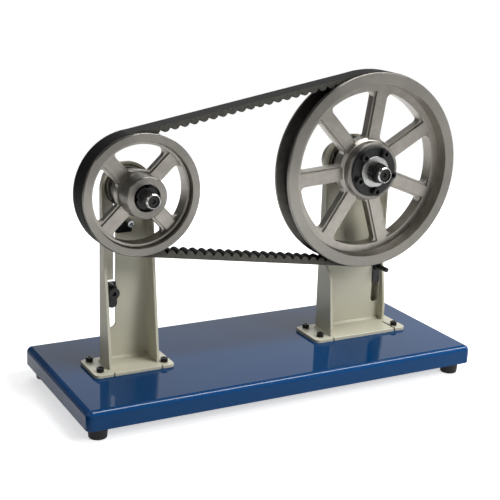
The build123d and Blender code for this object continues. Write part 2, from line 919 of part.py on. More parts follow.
def make_housing_screws(column: Column) -> None:
    """Cap screws through the housing flange and the web into the carrier plate."""
    length = housing_flange_thickness + column_sheet + carrier_thickness + clamp_screw_spare
    screw = socket_screw(
        column.screw_radius, length, column.screw_head_radius, column.screw_head_height,
        column.screw_flats)
    face_y = web_front_y - housing_flange_thickness
    with BuildPart() as screws:
        with Locations(*on_circle(
                column, column.screw_circle, housing_screw_count, column.screw_phase, face_y)):
            add(screw)
    screws.part.label = f"{column.side}_housing_screws"
    export_step(screws.part, f"parts/{screws.part.label}.step")


def make_outer_rings(column: Column) -> None:
    """Outer rings of both bearings, each with its ball groove."""
    bearing = column.bearing
    with BuildPart() as rings:
        for front in bearing.fronts:
            with BuildSketch(turning_plane(column)):
                with Locations((bearing.outer_ring, front)):
                    Rectangle(bearing.outer - bearing.outer_ring, bearing.width, align=Align.MIN)
                with Locations((bearing.ball_circle, front + bearing.width / 2)):
                    Circle(bearing.ball_radius + ball_clearance, mode=Mode.SUBTRACT)
            revolve(axis=column.axis)
    rings.part.label = f"{column.side}_bearing_outer_rings"
    export_step(rings.part, f"parts/{rings.part.label}.step")


def make_inner_rings(column: Column) -> None:
    """Inner rings of both bearings, which turn with the shaft."""
    bearing = column.bearing
    bore = bearing.bore + fit_clearance
    with BuildPart() as rings:
        for front in bearing.fronts:
            with BuildSketch(turning_plane(column)):
                with Locations((bore, front)):
                    Rectangle(bearing.inner_ring - bore, bearing.width, align=Align.MIN)
                with Locations((bearing.ball_circle, front + bearing.width / 2)):
                    Circle(bearing.ball_radius + ball_clearance, mode=Mode.SUBTRACT)
            revolve(axis=column.axis)
    rings.part.label = f"{column.side}_bearing_inner_rings"
    export_step(rings.part, f"parts/{rings.part.label}.step")


def ball_places(column: Column) -> list:
    """Places of all balls of a housing, each with its z axis pointing outwards."""
    bearing = column.bearing
    places = []
    for front in bearing.fronts:
        for i in range(bearing.ball_count):
            angle = 2 * pi * i / bearing.ball_count
            out = Vector(cos(angle), 0, sin(angle))
            centre = Vector(column.x, front + bearing.width / 2, column.z) + out * bearing.ball_circle
            places.append(Plane(origin=centre, x_dir=(0, 1, 0), z_dir=out).location)
    return places


def make_ball_cages(column: Column) -> None:
    """Balls of both bearings with the rings that keep them apart."""
    bearing = column.bearing
    pocket = bearing.ball_radius + ball_clearance
    with BuildPart() as cages:
        for front in bearing.fronts:
            with BuildSketch(turning_plane(column)):
                with Locations((bearing.ball_circle, front + bearing.width / 2)):
                    Rectangle(cage_thickness, bearing.width * cage_width_ratio)
            revolve(axis=column.axis)
        with Locations(*ball_places(column)):
            Cylinder(pocket, 2 * cage_thickness, mode=Mode.SUBTRACT)
    with BuildPart() as balls:
        with Locations(*ball_places(column)):
            Sphere(bearing.ball_radius)
        add(cages.part)
    balls.part.label = f"{column.side}_ball_cages"
    export_step(balls.part, f"parts/{balls.part.label}.step")


def make_shaft_spacer(column: Column) -> None:
    """Sleeve on the shaft between the two inner rings."""
    bearing = column.bearing
    front, rear = bearing.fronts
    bore = bearing.bore + fit_clearance
    with BuildPart() as spacer:
        with BuildSketch(turning_plane(column)):
            with Locations((bore, front + bearing.width)):
                Rectangle(bearing.inner_ring - bore, rear - front - bearing.width, align=Align.MIN)
        revolve(axis=column.axis)
    spacer.part.label = f"{column.side}_shaft_spacer"
    export_step(spacer.part, f"parts/{spacer.part.label}.step")


def make_circlip(column: Column) -> None:
    """Open retaining ring in the shaft's groove behind the rear bearing."""
    rear = column.bearing.rear_y + circlip_thickness
    outer = column.bearing.bore + circlip_height
    reach = 2 * outer
    side = reach * tan(radians(circlip_gap_angle / 2))
    with BuildPart() as circlip:
        with BuildSketch(front_plane(column.x, rear, column.z)):
            Circle(outer)
            Circle(column.bearing.bore - circlip_depth + fit_clearance, mode=Mode.SUBTRACT)
            with BuildLine():
                Polyline((0, 0), (-side, -reach), (side, -reach), close=True)
            make_face(mode=Mode.SUBTRACT)
        extrude(amount=circlip_thickness)
    circlip.part.label = f"{column.side}_circlip"
    export_step(circlip.part, f"parts/{circlip.part.label}.step")


def make_rear_cap(column: Column) -> None:
    """Push-in dust cap that closes the rear of the housing."""
    end = column.housing_rear_y
    plug = column.bearing.outer
    with BuildPart() as cap:
        with BuildSketch(turning_plane(column)):
            with BuildLine():
                Polyline(
                    (0, end), (plug - cap_wall, end), (plug - cap_wall, column.bearing.rear_y),
                    (plug, column.bearing.rear_y), (plug, end), (column.barrel - housing_edge_chamfer, end),
                    (column.barrel - housing_edge_chamfer, end + cap_thickness / 2),
                    (column.barrel - housing_edge_chamfer - cap_thickness / 2, end + cap_thickness),
                    (0, end + cap_thickness), close=True)
            make_face()
        revolve(axis=column.axis)
    cap.part.label = f"{column.side}_rear_cap"
    export_step(cap.part, f"parts/{cap.part.label}.step")


def make_shaft(column: Column) -> None:
    """Turned shaft with a shoulder, a keyway, a circlip groove and a bored front end."""
    bearing = column.bearing
    seat = bearing.bore
    nose = column.nose_radius
    shoulder = seat + shoulder_height
    clip = bearing.rear_y
    bore = nose - tip_wall
    end = clip + circlip_thickness + shoulder_height
    hub_rear = small_hub_rear_y if column is left else large_hub_rear_y
    hole = end_screw_thread_radius + fit_clearance
    hole_end = column.tip_y + tip_counterbore_depth + end_screw_length
    with BuildPart() as shaft:
        with BuildSketch(turning_plane(column)):
            with BuildLine():
                Polyline(
                    (bore, column.tip_y), (nose - shaft_tip_chamfer, column.tip_y),
                    (nose, column.tip_y + shaft_tip_chamfer), (nose, hub_rear),
                    (shoulder, hub_rear), (shoulder, bearing_front_y), (seat, bearing_front_y),
                    (seat, clip), (seat - circlip_depth, clip),
                    (seat - circlip_depth, clip + circlip_thickness),
                    (seat, clip + circlip_thickness), (seat, end - shaft_tip_chamfer),
                    (seat - shaft_tip_chamfer, end), (0, end), (0, hole_end), (hole, hole_end),
                    (hole, column.tip_y + tip_counterbore_depth),
                    (bore, column.tip_y + tip_counterbore_depth), close=True)
            make_face()
        revolve(axis=column.axis)
        key = column.key_width
        with Locations((column.x, key_front_y, column.z + nose + key_sunk - key / 2)):
            Box(key + 2 * fit_clearance, key_length, key + 2 * fit_clearance,
                align=(Align.CENTER, Align.MIN, Align.CENTER), mode=Mode.SUBTRACT)
    shaft.part.label = f"{column.side}_shaft"
    export_step(shaft.part, f"parts/{shaft.part.label}.step")


def make_key(column: Column, name: str) -> None:
    """Parallel key between the shaft and what turns with it."""
    key = column.key_width
    with BuildPart() as bar:
        centre_z = column.z + column.nose_radius + key_sunk - key / 2
        with Locations((column.x, key_front_y + fit_clearance, centre_z)):
            Box(key, key_length - 2 * fit_clearance, key, align=(Align.CENTER, Align.MIN, Align.CENTER))
    bar.part.label = name
    export_step(bar.part, f"parts/{name}.step")


def make_end_screw(column: Column) -> None:
    """Black socket screw sunk in the bored end of the shaft."""
    seat_y = column.tip_y + tip_counterbore_depth
    head = column.nose_radius - tip_wall - fit_clearance
    height = tip_counterbore_depth - end_screw_sunk
    length = end_screw_length - shoulder_height
    screw = socket_screw(end_screw_thread_radius, length, head, height, end_screw_flats)
    with BuildPart() as end_screw:
        with Locations(forward(column.x, seat_y, column.z)):
            add(screw)
    end_screw.part.label = f"{column.side}_shaft_end_screw"
    export_step(end_screw.part, f"parts/{end_screw.part.label}.step")


@dataclass(frozen=True)
class Wheel:
    """Sizes of one cast spoked pulley."""

    name: str
    column: Column
    rim: float
    land: float
    ledge: float
    ledge_depth: float
    window: float
    spokes: int
    phase: float
    spoke_width: float
    rib_width: float
    rib_height: float
    rib_depth: float
    spoke_thickness: float
    corner: float
    hub: float
    hub_front: float
    hub_rear_y: float
    skirt: float
    rear: float
    rear_depth: float
    hub_chamfer: float

    @property
    def hub_front_y(self) -> float:
        """Y of the hub's front face."""
        return rim_front_y - self.hub_front

    @property
    def rib_front_y(self) -> float:
        """Y of the spokes' front faces."""
        return rim_front_y + self.rib_depth

    @property
    def spoke_front_y(self) -> float:
        """Y of the step beside the ribs."""
        return self.rib_front_y + self.rib_height

    @property
    def spoke_rear_y(self) -> float:
        """Y of the spokes' rear faces."""
        return self.rib_front_y + self.spoke_thickness


small_wheel = Wheel(
    "small_pulley", left, small_rim_radius, small_land_radius, small_ledge_radius, small_ledge_depth,
    small_window_radius, small_spoke_count, small_spoke_phase, small_spoke_width, small_rib_width,
    small_rib_height, small_rib_depth, small_spoke_thickness, small_window_corner, small_hub_radius,
    small_hub_front, small_hub_rear_y, small_hub_skirt_radius, small_window_radius + small_rear_width,
    small_rear_depth,
    small_hub_chamfer)
large_wheel = Wheel(
    "large_pulley", right, large_rim_radius, large_land_radius, large_ledge_radius, large_ledge_depth,
    large_window_radius, large_spoke_count, large_spoke_phase, large_spoke_width, large_rib_width,
    large_rib_height, large_rib_depth, large_spoke_thickness, large_window_corner, large_hub_radius,
    large_hub_front, large_hub_rear_y, large_hub_skirt_radius, large_window_radius + large_rear_width,
    large_rear_depth,
    large_hub_chamfer)


def groove_half_width(radius_below_rim: float) -> float:
    """Half width of the belt groove at a depth under the rim's outer radius."""
    slope = tan(radians(groove_half_angle))
    at_rim = belt_top_width / 2 - belt_proud * slope + running_clearance / cos(radians(groove_half_angle))
    return at_rim - radius_below_rim * slope


def make_wheel_body(wheel: Wheel, bore: float, key_width: float) -> Part:
    """Rim, web, spokes and hub of a pulley, with the belt groove, before its hub details."""
    rim = wheel.rim
    edge = rim_edge_chamfer
    ledge_y = rim_front_y + wheel.ledge_depth
    top = groove_half_width(0)
    root = groove_half_width(groove_depth)
    hub_front = wheel.hub_front_y
    chamfer_size = wheel.hub_chamfer
    skirt_rear_y = wheel.spoke_rear_y + wheel.rib_height
    with BuildPart() as body:
        with BuildSketch(turning_plane(wheel.column)):
            with BuildLine():
                Polyline(
                    (wheel.land, rim_front_y), (rim - edge, rim_front_y), (rim, rim_front_y + edge),
                    (rim, groove_y - top), (rim - groove_depth, groove_y - root),
                    (rim - groove_depth, groove_y + root), (rim, groove_y + top),
                    (rim, rim_rear_y - edge), (rim - edge, rim_rear_y), (wheel.rear, rim_rear_y),
                    (wheel.window, rim_rear_y - wheel.rear_depth), (wheel.window, ledge_y),
                    (wheel.ledge, ledge_y), close=True)
            make_face()
        revolve(axis=wheel.column.axis)
        with BuildSketch(turning_plane(wheel.column)):
            with BuildLine():
                Polyline(
                    (bore, hub_front), (wheel.hub - chamfer_size, hub_front),
                    (wheel.hub, hub_front + chamfer_size), (wheel.hub, wheel.rib_front_y - chamfer_size),
                    (wheel.skirt, wheel.spoke_front_y), (wheel.skirt, skirt_rear_y),
                    (wheel.hub, skirt_rear_y + chamfer_size), (wheel.hub, wheel.hub_rear_y),
                    (bore, wheel.hub_rear_y), close=True)
            make_face()
        revolve(axis=wheel.column.axis)
        with BuildSketch(front_plane(wheel.column.x, wheel.spoke_rear_y, wheel.column.z)) as arms:
            Circle(wheel.window + wheel.rib_height / 2)
            Circle(wheel.skirt - wheel.rib_height, mode=Mode.SUBTRACT)
            with BuildSketch(mode=Mode.SUBTRACT) as windows:
                Circle(wheel.window)
                Circle(wheel.skirt, mode=Mode.SUBTRACT)
                with PolarLocations(0, wheel.spokes, start_angle=wheel.phase):
                    Rectangle(
                        2 * wheel.rim, wheel.spoke_width, align=(Align.MIN, Align.CENTER),
                        mode=Mode.SUBTRACT)
                fillet(windows.vertices(), wheel.corner)
        extrude(amount=wheel.spoke_thickness - wheel.rib_height)
        with BuildSketch(front_plane(wheel.column.x, wheel.spoke_front_y, wheel.column.z)):
            with PolarLocations(0, wheel.spokes, start_angle=wheel.phase):
                with Locations((wheel.hub - wheel.rib_height, 0)):
                    Rectangle(
                        wheel.window - wheel.hub + 2 * wheel.rib_height, wheel.rib_width,
                        align=(Align.MIN, Align.CENTER))
        extrude(amount=wheel.rib_height, taper=rib_draft_angle)
        key_centre = wheel.column.nose_radius + key_sunk - key_width / 2
        with Locations((wheel.column.x, key_front_y, wheel.column.z + key_centre)):
            Box(key_width + 2 * fit_clearance, wheel.hub_rear_y - key_front_y, key_width + 2 * fit_clearance,
                align=(Align.CENTER, Align.MIN, Align.CENTER), mode=Mode.SUBTRACT)
    return body.part


def make_small_pulley() -> None:
    """Small pulley: the body with a recess for its nut."""
    wheel = small_wheel
    bore = left.nose_radius + fit_clearance
    with BuildPart() as pulley:
        add(make_wheel_body(wheel, bore, left.key_width))
        with BuildSketch(front_plane(wheel.column.x, wheel.hub_front_y, wheel.column.z)):
            Circle(small_recess_radius)
        extrude(amount=-small_recess_depth, mode=Mode.SUBTRACT)
    pulley.part.label = "small_pulley"
    export_step(pulley.part, "parts/small_pulley.step")


def bush_seat_profile(clearance: float) -> list:
    """Outline of the bush from its flange to its small end, as radius and y."""
    face = large_wheel.hub_front_y
    flange_rear = face + bush_flange_seat
    small_end = bush_front_radius - bush_length * tan(radians(bush_taper_angle))
    return [
        (bush_flange_radius + clearance, flange_rear), (bush_front_radius + clearance, flange_rear),
        (small_end + clearance, flange_rear + bush_length)]


def make_large_pulley() -> None:
    """Large pulley: the body bored and counterbored for its keyed bush."""
    wheel = large_wheel
    bore = right.nose_radius + fit_clearance
    face = wheel.hub_front_y
    seat = bush_seat_profile(fit_clearance)
    with BuildPart() as pulley:
        add(make_wheel_body(wheel, bore, right.key_width))
        with BuildSketch(turning_plane(right)):
            with BuildLine():
                Polyline(
                    (0, face), (seat[0][0], face), *seat, (seat[-1][0], wheel.hub_rear_y),
                    (0, wheel.hub_rear_y), close=True)
            make_face()
        revolve(axis=right.axis, mode=Mode.SUBTRACT)
        with Locations(*on_circle(right, bush_screw_circle, bush_screw_count, bush_screw_phase, face)):
            Cylinder(
                m6_radius + fit_clearance, 2 * (bush_flange_seat + bush_screw_length), mode=Mode.SUBTRACT)
    pulley.part.label = "large_pulley"
    export_step(pulley.part, "parts/large_pulley.step")


def make_large_bush() -> None:
    """Flanged taper bush between the large pulley and its shaft."""
    face = large_wheel.hub_front_y
    front = face + bush_flange_seat - bush_flange_thickness
    seat = bush_seat_profile(0)
    bore = right.nose_radius + fit_clearance
    edge = large_hub_chamfer
    key = right.key_width
    key_centre = right.nose_radius + key_sunk - key / 2
    with BuildPart() as bush:
        with BuildSketch(turning_plane(right)):
            with BuildLine():
                Polyline(
                    (bore, front), (bush_flange_radius - edge, front), (bush_flange_radius, front + edge),
                    *seat, (bore, seat[-1][1]), close=True)
            make_face()
        revolve(axis=right.axis)
        with Locations((right.x, key_front_y, right.z + key_centre)):
            Box(key + 2 * fit_clearance, bush_length, key + 2 * fit_clearance,
                align=(Align.CENTER, Align.MIN, Align.CENTER), mode=Mode.SUBTRACT)
        with Locations(*on_circle(right, bush_screw_circle, bush_screw_count, bush_screw_phase, front)):
            Cylinder(m6_radius + screw_clearance, 2 * bush_length, mode=Mode.SUBTRACT)
    bush.part.label = "large_pulley_bush"
    export_step(bush.part, "parts/large_pulley_bush.step")


def make_bush_screws() -> None:
    """Cap screws that draw the bush into the hub."""
    front = large_wheel.hub_front_y + bush_flange_seat - bush_flange_thickness
    screw = socket_screw(m6_radius, bush_screw_length, m6_head_radius, m6_head_height, m6_socket_flats)
    with BuildPart() as screws:
        with Locations(*on_circle(right, bush_screw_circle, bush_screw_count, bush_screw_phase, front)):
            add(screw)
    screws.part.label = "bush_screws"
    export_step(screws.part, "parts/bush_screws.step")


def make_washer(column: Column, name: str, radius: float, thickness: float, rear_y: float) -> None:
    """Round washer on the shaft, its rear face at rear_y."""
    with BuildPart() as washer:
        with BuildSketch(front_plane(column.x, rear_y, column.z)):
            Circle(radius)
            Circle(column.nose_radius + fit_clearance, mode=Mode.SUBTRACT)
        extrude(amount=thickness)
        rim = washer.edges().group_by(Axis.Y)[0].sort_by(SortBy.LENGTH)[-1]
        chamfer(rim, thickness * washer_chamfer_ratio)
    washer.part.label = name
    export_step(washer.part, f"parts/{name}.step")


def make_round_nut(column: Column, name: str, radius: float, height: float, rear_y: float) -> None:
    """Round shaft nut with four spanner slots, its rear face at rear_y."""
    with BuildPart() as nut:
        with BuildSketch(front_plane(column.x, rear_y, column.z)):
            Circle(radius)
            Circle(column.nose_radius + fit_clearance, mode=Mode.SUBTRACT)
            with PolarLocations(radius, 4):
                Rectangle(2 * nut_slot_depth, nut_slot_width, mode=Mode.SUBTRACT)
        extrude(amount=height)
    nut.part.label = name
    export_step(nut.part, f"parts/{name}.step")


def make_jam_nut(rear_y: float) -> None:
    """Grooved lock nut in front of the large pulley's nut."""
    bore = right.nose_radius + fit_clearance
    grooves = int(jam_nut_height / jam_groove_pitch)
    outline = []
    for i in range(grooves):
        y = rear_y - i * jam_groove_pitch
        outline.append((jam_nut_radius - jam_groove_depth, y))
        outline.append((jam_nut_radius, y - jam_groove_pitch / 2))
    outline.append((jam_nut_radius - jam_groove_depth, rear_y - jam_nut_height))
    with BuildPart() as nut:
        with BuildSketch(turning_plane(right)):
            with BuildLine():
                Polyline((bore, rear_y), *outline, (bore, rear_y - jam_nut_height), close=True)
            make_face()
        revolve(axis=right.axis)
    nut.part.label = "large_pulley_jam_nut"
    export_step(nut.part, "parts/large_pulley_jam_nut.step")


def belt_path_points() -> dict:
    """Tangent points and far points of the belt's outer face."""
    small = small_rim_radius + belt_proud
    large = large_rim_radius + belt_proud
    span = Vector(right.x - left.x, right.z - left.z)
    tilt = acos((large - small) / span.length)
    lean = radians(Vector(1, 0).get_signed_angle(span, Vector(0, 0, 1)))
    points = {}
    for key, angle in (("top", lean + pi - tilt), ("bottom", lean + pi + tilt)):
        points["large_" + key] = (right.x + large * cos(angle), right.z + large * sin(angle))
        points["small_" + key] = (left.x + small * cos(angle), left.z + small * sin(angle))
    points["large_far"] = (right.x + large * cos(lean), right.z + large * sin(lean))
    points["small_far"] = (left.x - small * cos(lean), left.z - small * sin(lean))
    return points


def belt_point(wire: Wire, share: float, depth: float) -> tuple:
    """X and Z of the point at a share of the belt's length, depth inside its outer face."""
    at = wire.position_at(share % 1)
    way = wire.tangent_at(share % 1)
    return (at.X + way.Z * depth, at.Z - way.X * depth)


def make_drive_belt() -> None:
    """Cogged V-belt round both pulleys: a swept V section trimmed to the cogs' outline."""
    slope = tan(radians(groove_half_angle))
    depth = belt_thickness + cog_spare
    top = belt_top_width / 2
    bottom = top - depth * slope
    points = belt_path_points()
    with BuildPart() as belt:
        with BuildLine(front_plane(0, groove_y, 0)) as loop:
            Line(points["small_top"], points["large_top"])
            ThreePointArc(points["large_top"], points["large_far"], points["large_bottom"])
            Line(points["large_bottom"], points["small_bottom"])
            ThreePointArc(points["small_bottom"], points["small_far"], points["small_top"])
        wire = loop.wires()[0]
        start = wire.position_at(0)
        along = wire.tangent_at(0)
        with BuildSketch(Plane(origin=start, x_dir=(0, 1, 0), z_dir=along)) as section:
            side = -1 if section.workplanes[0].y_dir.Z > 0 else 1
            with BuildLine():
                Polyline((-top, 0), (top, 0), (bottom, side * depth), (-bottom, side * depth), close=True)
            make_face()
        sweep(path=wire)
        with BuildSketch(front_plane(0, groove_y + belt_top_width, 0)):
            Rectangle(4 * base_length, 4 * base_length)
            with BuildLine():
                for i in range(cog_count):
                    begin = belt_point(wire, (i + cog_root_share / 2) / cog_count, belt_body_thickness)
                    tip = belt_point(wire, (i + 1 / 2) / cog_count, belt_thickness)
                    end = belt_point(wire, (i + 1 - cog_root_share / 2) / cog_count, belt_body_thickness)
                    after = belt_point(wire, (i + 1 + cog_root_share / 2) / cog_count, belt_body_thickness)
                    ThreePointArc(begin, tip, end)
                    Line(end, after)
            make_face(mode=Mode.SUBTRACT)
        extrude(amount=2 * belt_top_width, mode=Mode.INTERSECT)
    belt.part.label = "drive_belt"
    export_step(belt.part, "parts/drive_belt.step")


@dataclass(frozen=True)
class Clamp:
    """Sizes and place of a block that slides in a column's slot."""

    column: Column
    slot_x: float
    slot_width: float
    middle: float
    height: float
    stand: float
    flange_width: float
    thread_rise: float

    @property
    def x(self) -> float:
        """X of the slot's middle."""
        return self.column.x + self.slot_x

    @property
    def z(self) -> float:
        """Z of the block's middle."""
        return column_bottom_z + self.middle

    @property
    def thread_z(self) -> float:
        """Z of the thread through the block."""
        return self.z + self.thread_rise

    @property
    def front_y(self) -> float:
        """Y of the block's front face."""
        return web_front_y - self.stand

    @property
    def rear_y(self) -> float:
        """Y of the block's rear face."""
        return column_rear_y + block_clearance + block_flange_thickness


left_clamp = Clamp(
    left, left_slot_x, left_slot_width, left_block_middle, left_block_height, left_block_stand,
    left_block_flange, left_thread_rise)
right_clamp = Clamp(
    right, right_slot_x, right_slot_width, right_block_middle, right_block_height, right_block_stand,
    right_block_flange, right_thread_rise)


def make_slide_block(clamp: Clamp) -> None:
    """Black block in the slot, with a wider part behind the web."""
    width = clamp.slot_width - 2 * block_clearance
    shoulder_y = column_rear_y + block_clearance
    with BuildPart() as block:
        with BuildSketch(front_plane(clamp.x, shoulder_y, clamp.z)):
            SlotOverall(clamp.height, width, rotation=90)
        extrude(amount=shoulder_y - clamp.front_y)
        with BuildSketch(front_plane(clamp.x, clamp.rear_y, clamp.z)):
            RectangleRounded(clamp.flange_width, clamp.height, block_flange_corner)
        extrude(amount=block_flange_thickness)
        with Locations(forward(clamp.x, clamp.front_y, clamp.thread_z)):
            Cylinder(m6_radius + fit_clearance, 4 * clamp.height, mode=Mode.SUBTRACT)
    block.part.label = f"{clamp.column.side}_slide_block"
    export_step(block.part, f"parts/{block.part.label}.step")


def make_clamp_screw() -> None:
    """Round-headed screw through the left slide block."""
    length = left_clamp.rear_y - left_clamp.front_y + m6_nut_height + clamp_screw_spare
    screw = socket_screw(m6_radius, length, clamp_head_radius, clamp_head_height, m6_socket_flats)
    with BuildPart() as clamp_screw:
        with Locations(forward(left_clamp.x, left_clamp.front_y, left_clamp.thread_z)):
            add(screw)
    clamp_screw.part.label = "left_clamp_screw"
    export_step(clamp_screw.part, "parts/left_clamp_screw.step")


def make_clamp_stud() -> None:
    """Stud that points to the front, its hexagon head behind the right slide block."""
    with BuildPart() as stud:
        with BuildSketch(front_plane(right_clamp.x, right_clamp.rear_y, right_clamp.thread_z)):
            Circle(m6_radius)
        extrude(amount=right_clamp.rear_y - stud_tip_y)
        chamfer(stud.edges().group_by(Axis.Y)[0], m6_radius * thread_chamfer_ratio)
        with BuildSketch(
                front_plane(right_clamp.x, right_clamp.rear_y + stud_head_height, right_clamp.thread_z)):
            RegularPolygon(hex_points(m6_nut_flats), 6)
        extrude(amount=stud_head_height)
    stud.part.label = "right_clamp_stud"
    export_step(stud.part, "parts/right_clamp_stud.step")


def make_clamp_nut(clamp: Clamp, face_y: float) -> None:
    """Nut on a clamp's thread, its crowned face at face_y."""
    with BuildPart() as nut:
        with Locations(forward(clamp.x, face_y, clamp.thread_z)):
            add(hex_nut(m6_radius, m6_nut_flats, m6_nut_height))
    nut.part.label = f"{clamp.column.side}_clamp_nut"
    export_step(nut.part, f"parts/{nut.part.label}.step")


def make_slot_cover() -> None:
    """Formed box welded behind the right slot; its far wall ends on the column's bend."""
    low = column_bottom_z + right_slot_low - cover_margin
    height = right_slot_high - right_slot_low + 2 * cover_margin
    bend_x = right.x + right.right_reach - column_bend_radius
    bend_y = column_rear_y - column_bend_radius
    with BuildPart() as cover:
        with BuildSketch(Plane.XY.offset(low)):
            with Locations((right_clamp.x, bend_y)):
                Rectangle(cover_width, cover_rear_y - bend_y, align=(Align.CENTER, Align.MIN))
        extrude(amount=height)
        fillet(cover.edges().group_by(Axis.Y)[-1].filter_by(Axis.Z), cover_edge_radius)
        with BuildSketch(Plane.XY.offset(low + cover_sheet)):
            with Locations((right_clamp.x, bend_y)):
                Rectangle(
                    cover_width - 2 * cover_sheet, cover_rear_y - cover_sheet - bend_y,
                    align=(Align.CENTER, Align.MIN))
        extrude(amount=height - 2 * cover_sheet, mode=Mode.SUBTRACT)
        with BuildSketch(Plane.XY.offset(low)):
            with Locations((bend_x, bend_y)):
                Circle(column_bend_radius + fit_clearance)
                Rectangle(2 * cover_width, column_bend_radius + fit_clearance, align=(Align.MAX, Align.MIN))
        extrude(amount=height, mode=Mode.SUBTRACT)
    cover.part.label = "right_slot_cover"
    export_step(cover.part, "parts/right_slot_cover.step")


make_base_tray()
make_foot_gussets()
make_rubber_feet()
make_foot_screws()
make_foot_nuts()
for column in (left, right):
    make_foot_plate(column)
    make_mount_screws(column)
    make_backing_plate(column)
    make_mount_nuts(column)
    make_column(column)
    make_welds(column)
    make_carrier_plate(column)
    make_bearing_housing(column)
    make_housing_screws(column)
    make_outer_rings(column)
    make_inner_rings(column)
    make_ball_cages(column)
    make_shaft_spacer(column)
    make_circlip(column)
    make_rear_cap(column)
    make_shaft(column)
    make_end_screw(column)
make_lock_plate()
make_height_screw()
make_small_pulley()
make_key(left, "small_pulley_key")
small_seat_y = small_wheel.hub_front_y + small_recess_depth
make_washer(left, "small_pulley_washer", small_washer_radius, small_washer_thickness, small_seat_y)
make_round_nut(
    left, "small_pulley_nut", small_nut_radius, small_nut_height, small_seat_y - small_washer_thickness)
make_large_pulley()
make_large_bush()
make_bush_screws()
make_key(right, "large_pulley_key")
large_seat_y = large_wheel.hub_front_y + bush_flange_seat - bush_flange_thickness
make_washer(right, "large_pulley_washer", large_washer_radius, large_washer_thickness, large_seat_y)
large_nut_y = large_seat_y - large_washer_thickness
make_round_nut(right, "large_pulley_nut", large_nut_radius, large_nut_height, large_nut_y)
make_jam_nut(large_nut_y - large_nut_height)
make_drive_belt()
make_slide_block(left_clamp)
make_clamp_screw()
make_clamp_nut(left_clamp, left_clamp.rear_y)
make_slide_block(right_clamp)
make_clamp_stud()
make_clamp_nut(right_clamp, right_clamp.front_y - m6_nut_height)
make_slot_cover()
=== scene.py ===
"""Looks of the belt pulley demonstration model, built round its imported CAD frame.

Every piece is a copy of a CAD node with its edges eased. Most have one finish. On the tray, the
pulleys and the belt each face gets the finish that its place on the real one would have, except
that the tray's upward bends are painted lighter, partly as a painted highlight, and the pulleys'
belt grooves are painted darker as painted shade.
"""

import json
import logging
from dataclasses import dataclass, replace
from enum import Enum
from math import asin, atan2, cos, hypot, pi, radians, sin
from typing import Optional, Sequence

import bmesh
import bpy
from mathutils import Euler, Matrix, Vector

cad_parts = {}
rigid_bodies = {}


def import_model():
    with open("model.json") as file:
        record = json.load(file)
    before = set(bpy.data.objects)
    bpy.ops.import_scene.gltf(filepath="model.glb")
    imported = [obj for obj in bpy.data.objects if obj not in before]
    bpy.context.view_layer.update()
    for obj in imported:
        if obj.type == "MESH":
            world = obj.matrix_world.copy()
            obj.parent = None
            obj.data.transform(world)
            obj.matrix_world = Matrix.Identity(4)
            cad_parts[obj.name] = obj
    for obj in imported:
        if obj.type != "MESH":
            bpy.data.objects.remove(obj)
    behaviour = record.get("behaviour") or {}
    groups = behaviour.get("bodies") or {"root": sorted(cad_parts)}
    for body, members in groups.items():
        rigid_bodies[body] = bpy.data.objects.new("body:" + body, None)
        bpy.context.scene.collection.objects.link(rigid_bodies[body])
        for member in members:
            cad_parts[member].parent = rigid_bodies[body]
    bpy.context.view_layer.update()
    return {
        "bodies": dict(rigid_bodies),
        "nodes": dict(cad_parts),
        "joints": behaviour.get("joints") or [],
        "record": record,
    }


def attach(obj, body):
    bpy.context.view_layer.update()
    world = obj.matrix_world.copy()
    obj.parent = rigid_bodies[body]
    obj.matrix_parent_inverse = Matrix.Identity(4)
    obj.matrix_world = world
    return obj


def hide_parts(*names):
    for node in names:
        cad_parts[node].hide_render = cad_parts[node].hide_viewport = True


log = logging.getLogger("pulley_model")
MM = 0.001

# X and Z of the shafts' axes, in metres
LEFT_AXIS = (-0.16255, 0.2445)
RIGHT_AXIS = (0.13495, 0.25)

# Rim of both pulleys, in mm: where it begins and ends, and the belt groove between its lands
RIM_FRONT_Y = -35.0
RIM_REAR_Y = -2.0
GROOVE_LAND = 3.0
GROOVE_DEPTH = 9.5

# Corners of a CAD node's triangles that lie closer than this, in metres, are one corner
SAME_CORNER = 0.002 * MM
# Faces that meet at less than this many degrees are one face
SAME_FACE = 0.8
# A merged face with more corners than this is split, because it can fold over in the finished mesh
MOST_CORNERS = 4
# Edges that turn by more degrees than these are eased, and stay sharp in the shading
EASED_TURN = 35.0
SHARP_TURN = 40.0


class Body(Enum):
    """Bodies of the CAD frame."""

    STAND = "stand"
    SMALL = "small_rotor"
    LARGE = "large_rotor"
    LEFT_CLAMP = "left_clamp"
    RIGHT_CLAMP = "right_clamp"


class Slot(Enum):
    """Material slots of the part's record."""

    BASE_ENAMEL = "base_enamel"
    BEARING_STEEL = "bearing_steel"
    BELT_RUBBER = "belt_rubber"
    BLACK_STEEL = "black_steel"
    CAP_PLASTIC = "cap_plastic"
    CAST_ALLOY = "cast_alloy"
    COLUMN_PAINT = "column_paint"
    FOOT_RUBBER = "foot_rubber"
    HOUSING_IRON = "housing_iron"
    TURNED_STEEL = "turned_steel"
    ZINC_STEEL = "zinc_steel"


class Side(Enum):
    """Sides of the model, as the CAD nodes' names begin."""

    LEFT = "left"
    RIGHT = "right"


class Bolt(Enum):
    """What draws a clamp tight, as the CAD nodes' names end."""

    SCREW = "screw"
    STUD = "stud"


class Made(Enum):
    """How a pulley's face was made, by its place in the list of the pulley's finishes."""

    CAST = 0
    TURNED = 1
    GROOVE = 2


def linear(colour: str) -> tuple[float, float, float, float]:
    """Turns an sRGB hex colour into linear values.

    Args:
        colour: Six hex digits.

    Returns:
        Red, green, blue and an alpha of 1.
    """
    parts = [int(colour[i:i + 2], 16) / 255 for i in (0, 2, 4)]
    red, green, blue = [p / 12.92 if p <= 0.04045 else ((p + 0.055) / 1.055) ** 2.4 for p in parts]
    return red, green, blue, 1.0


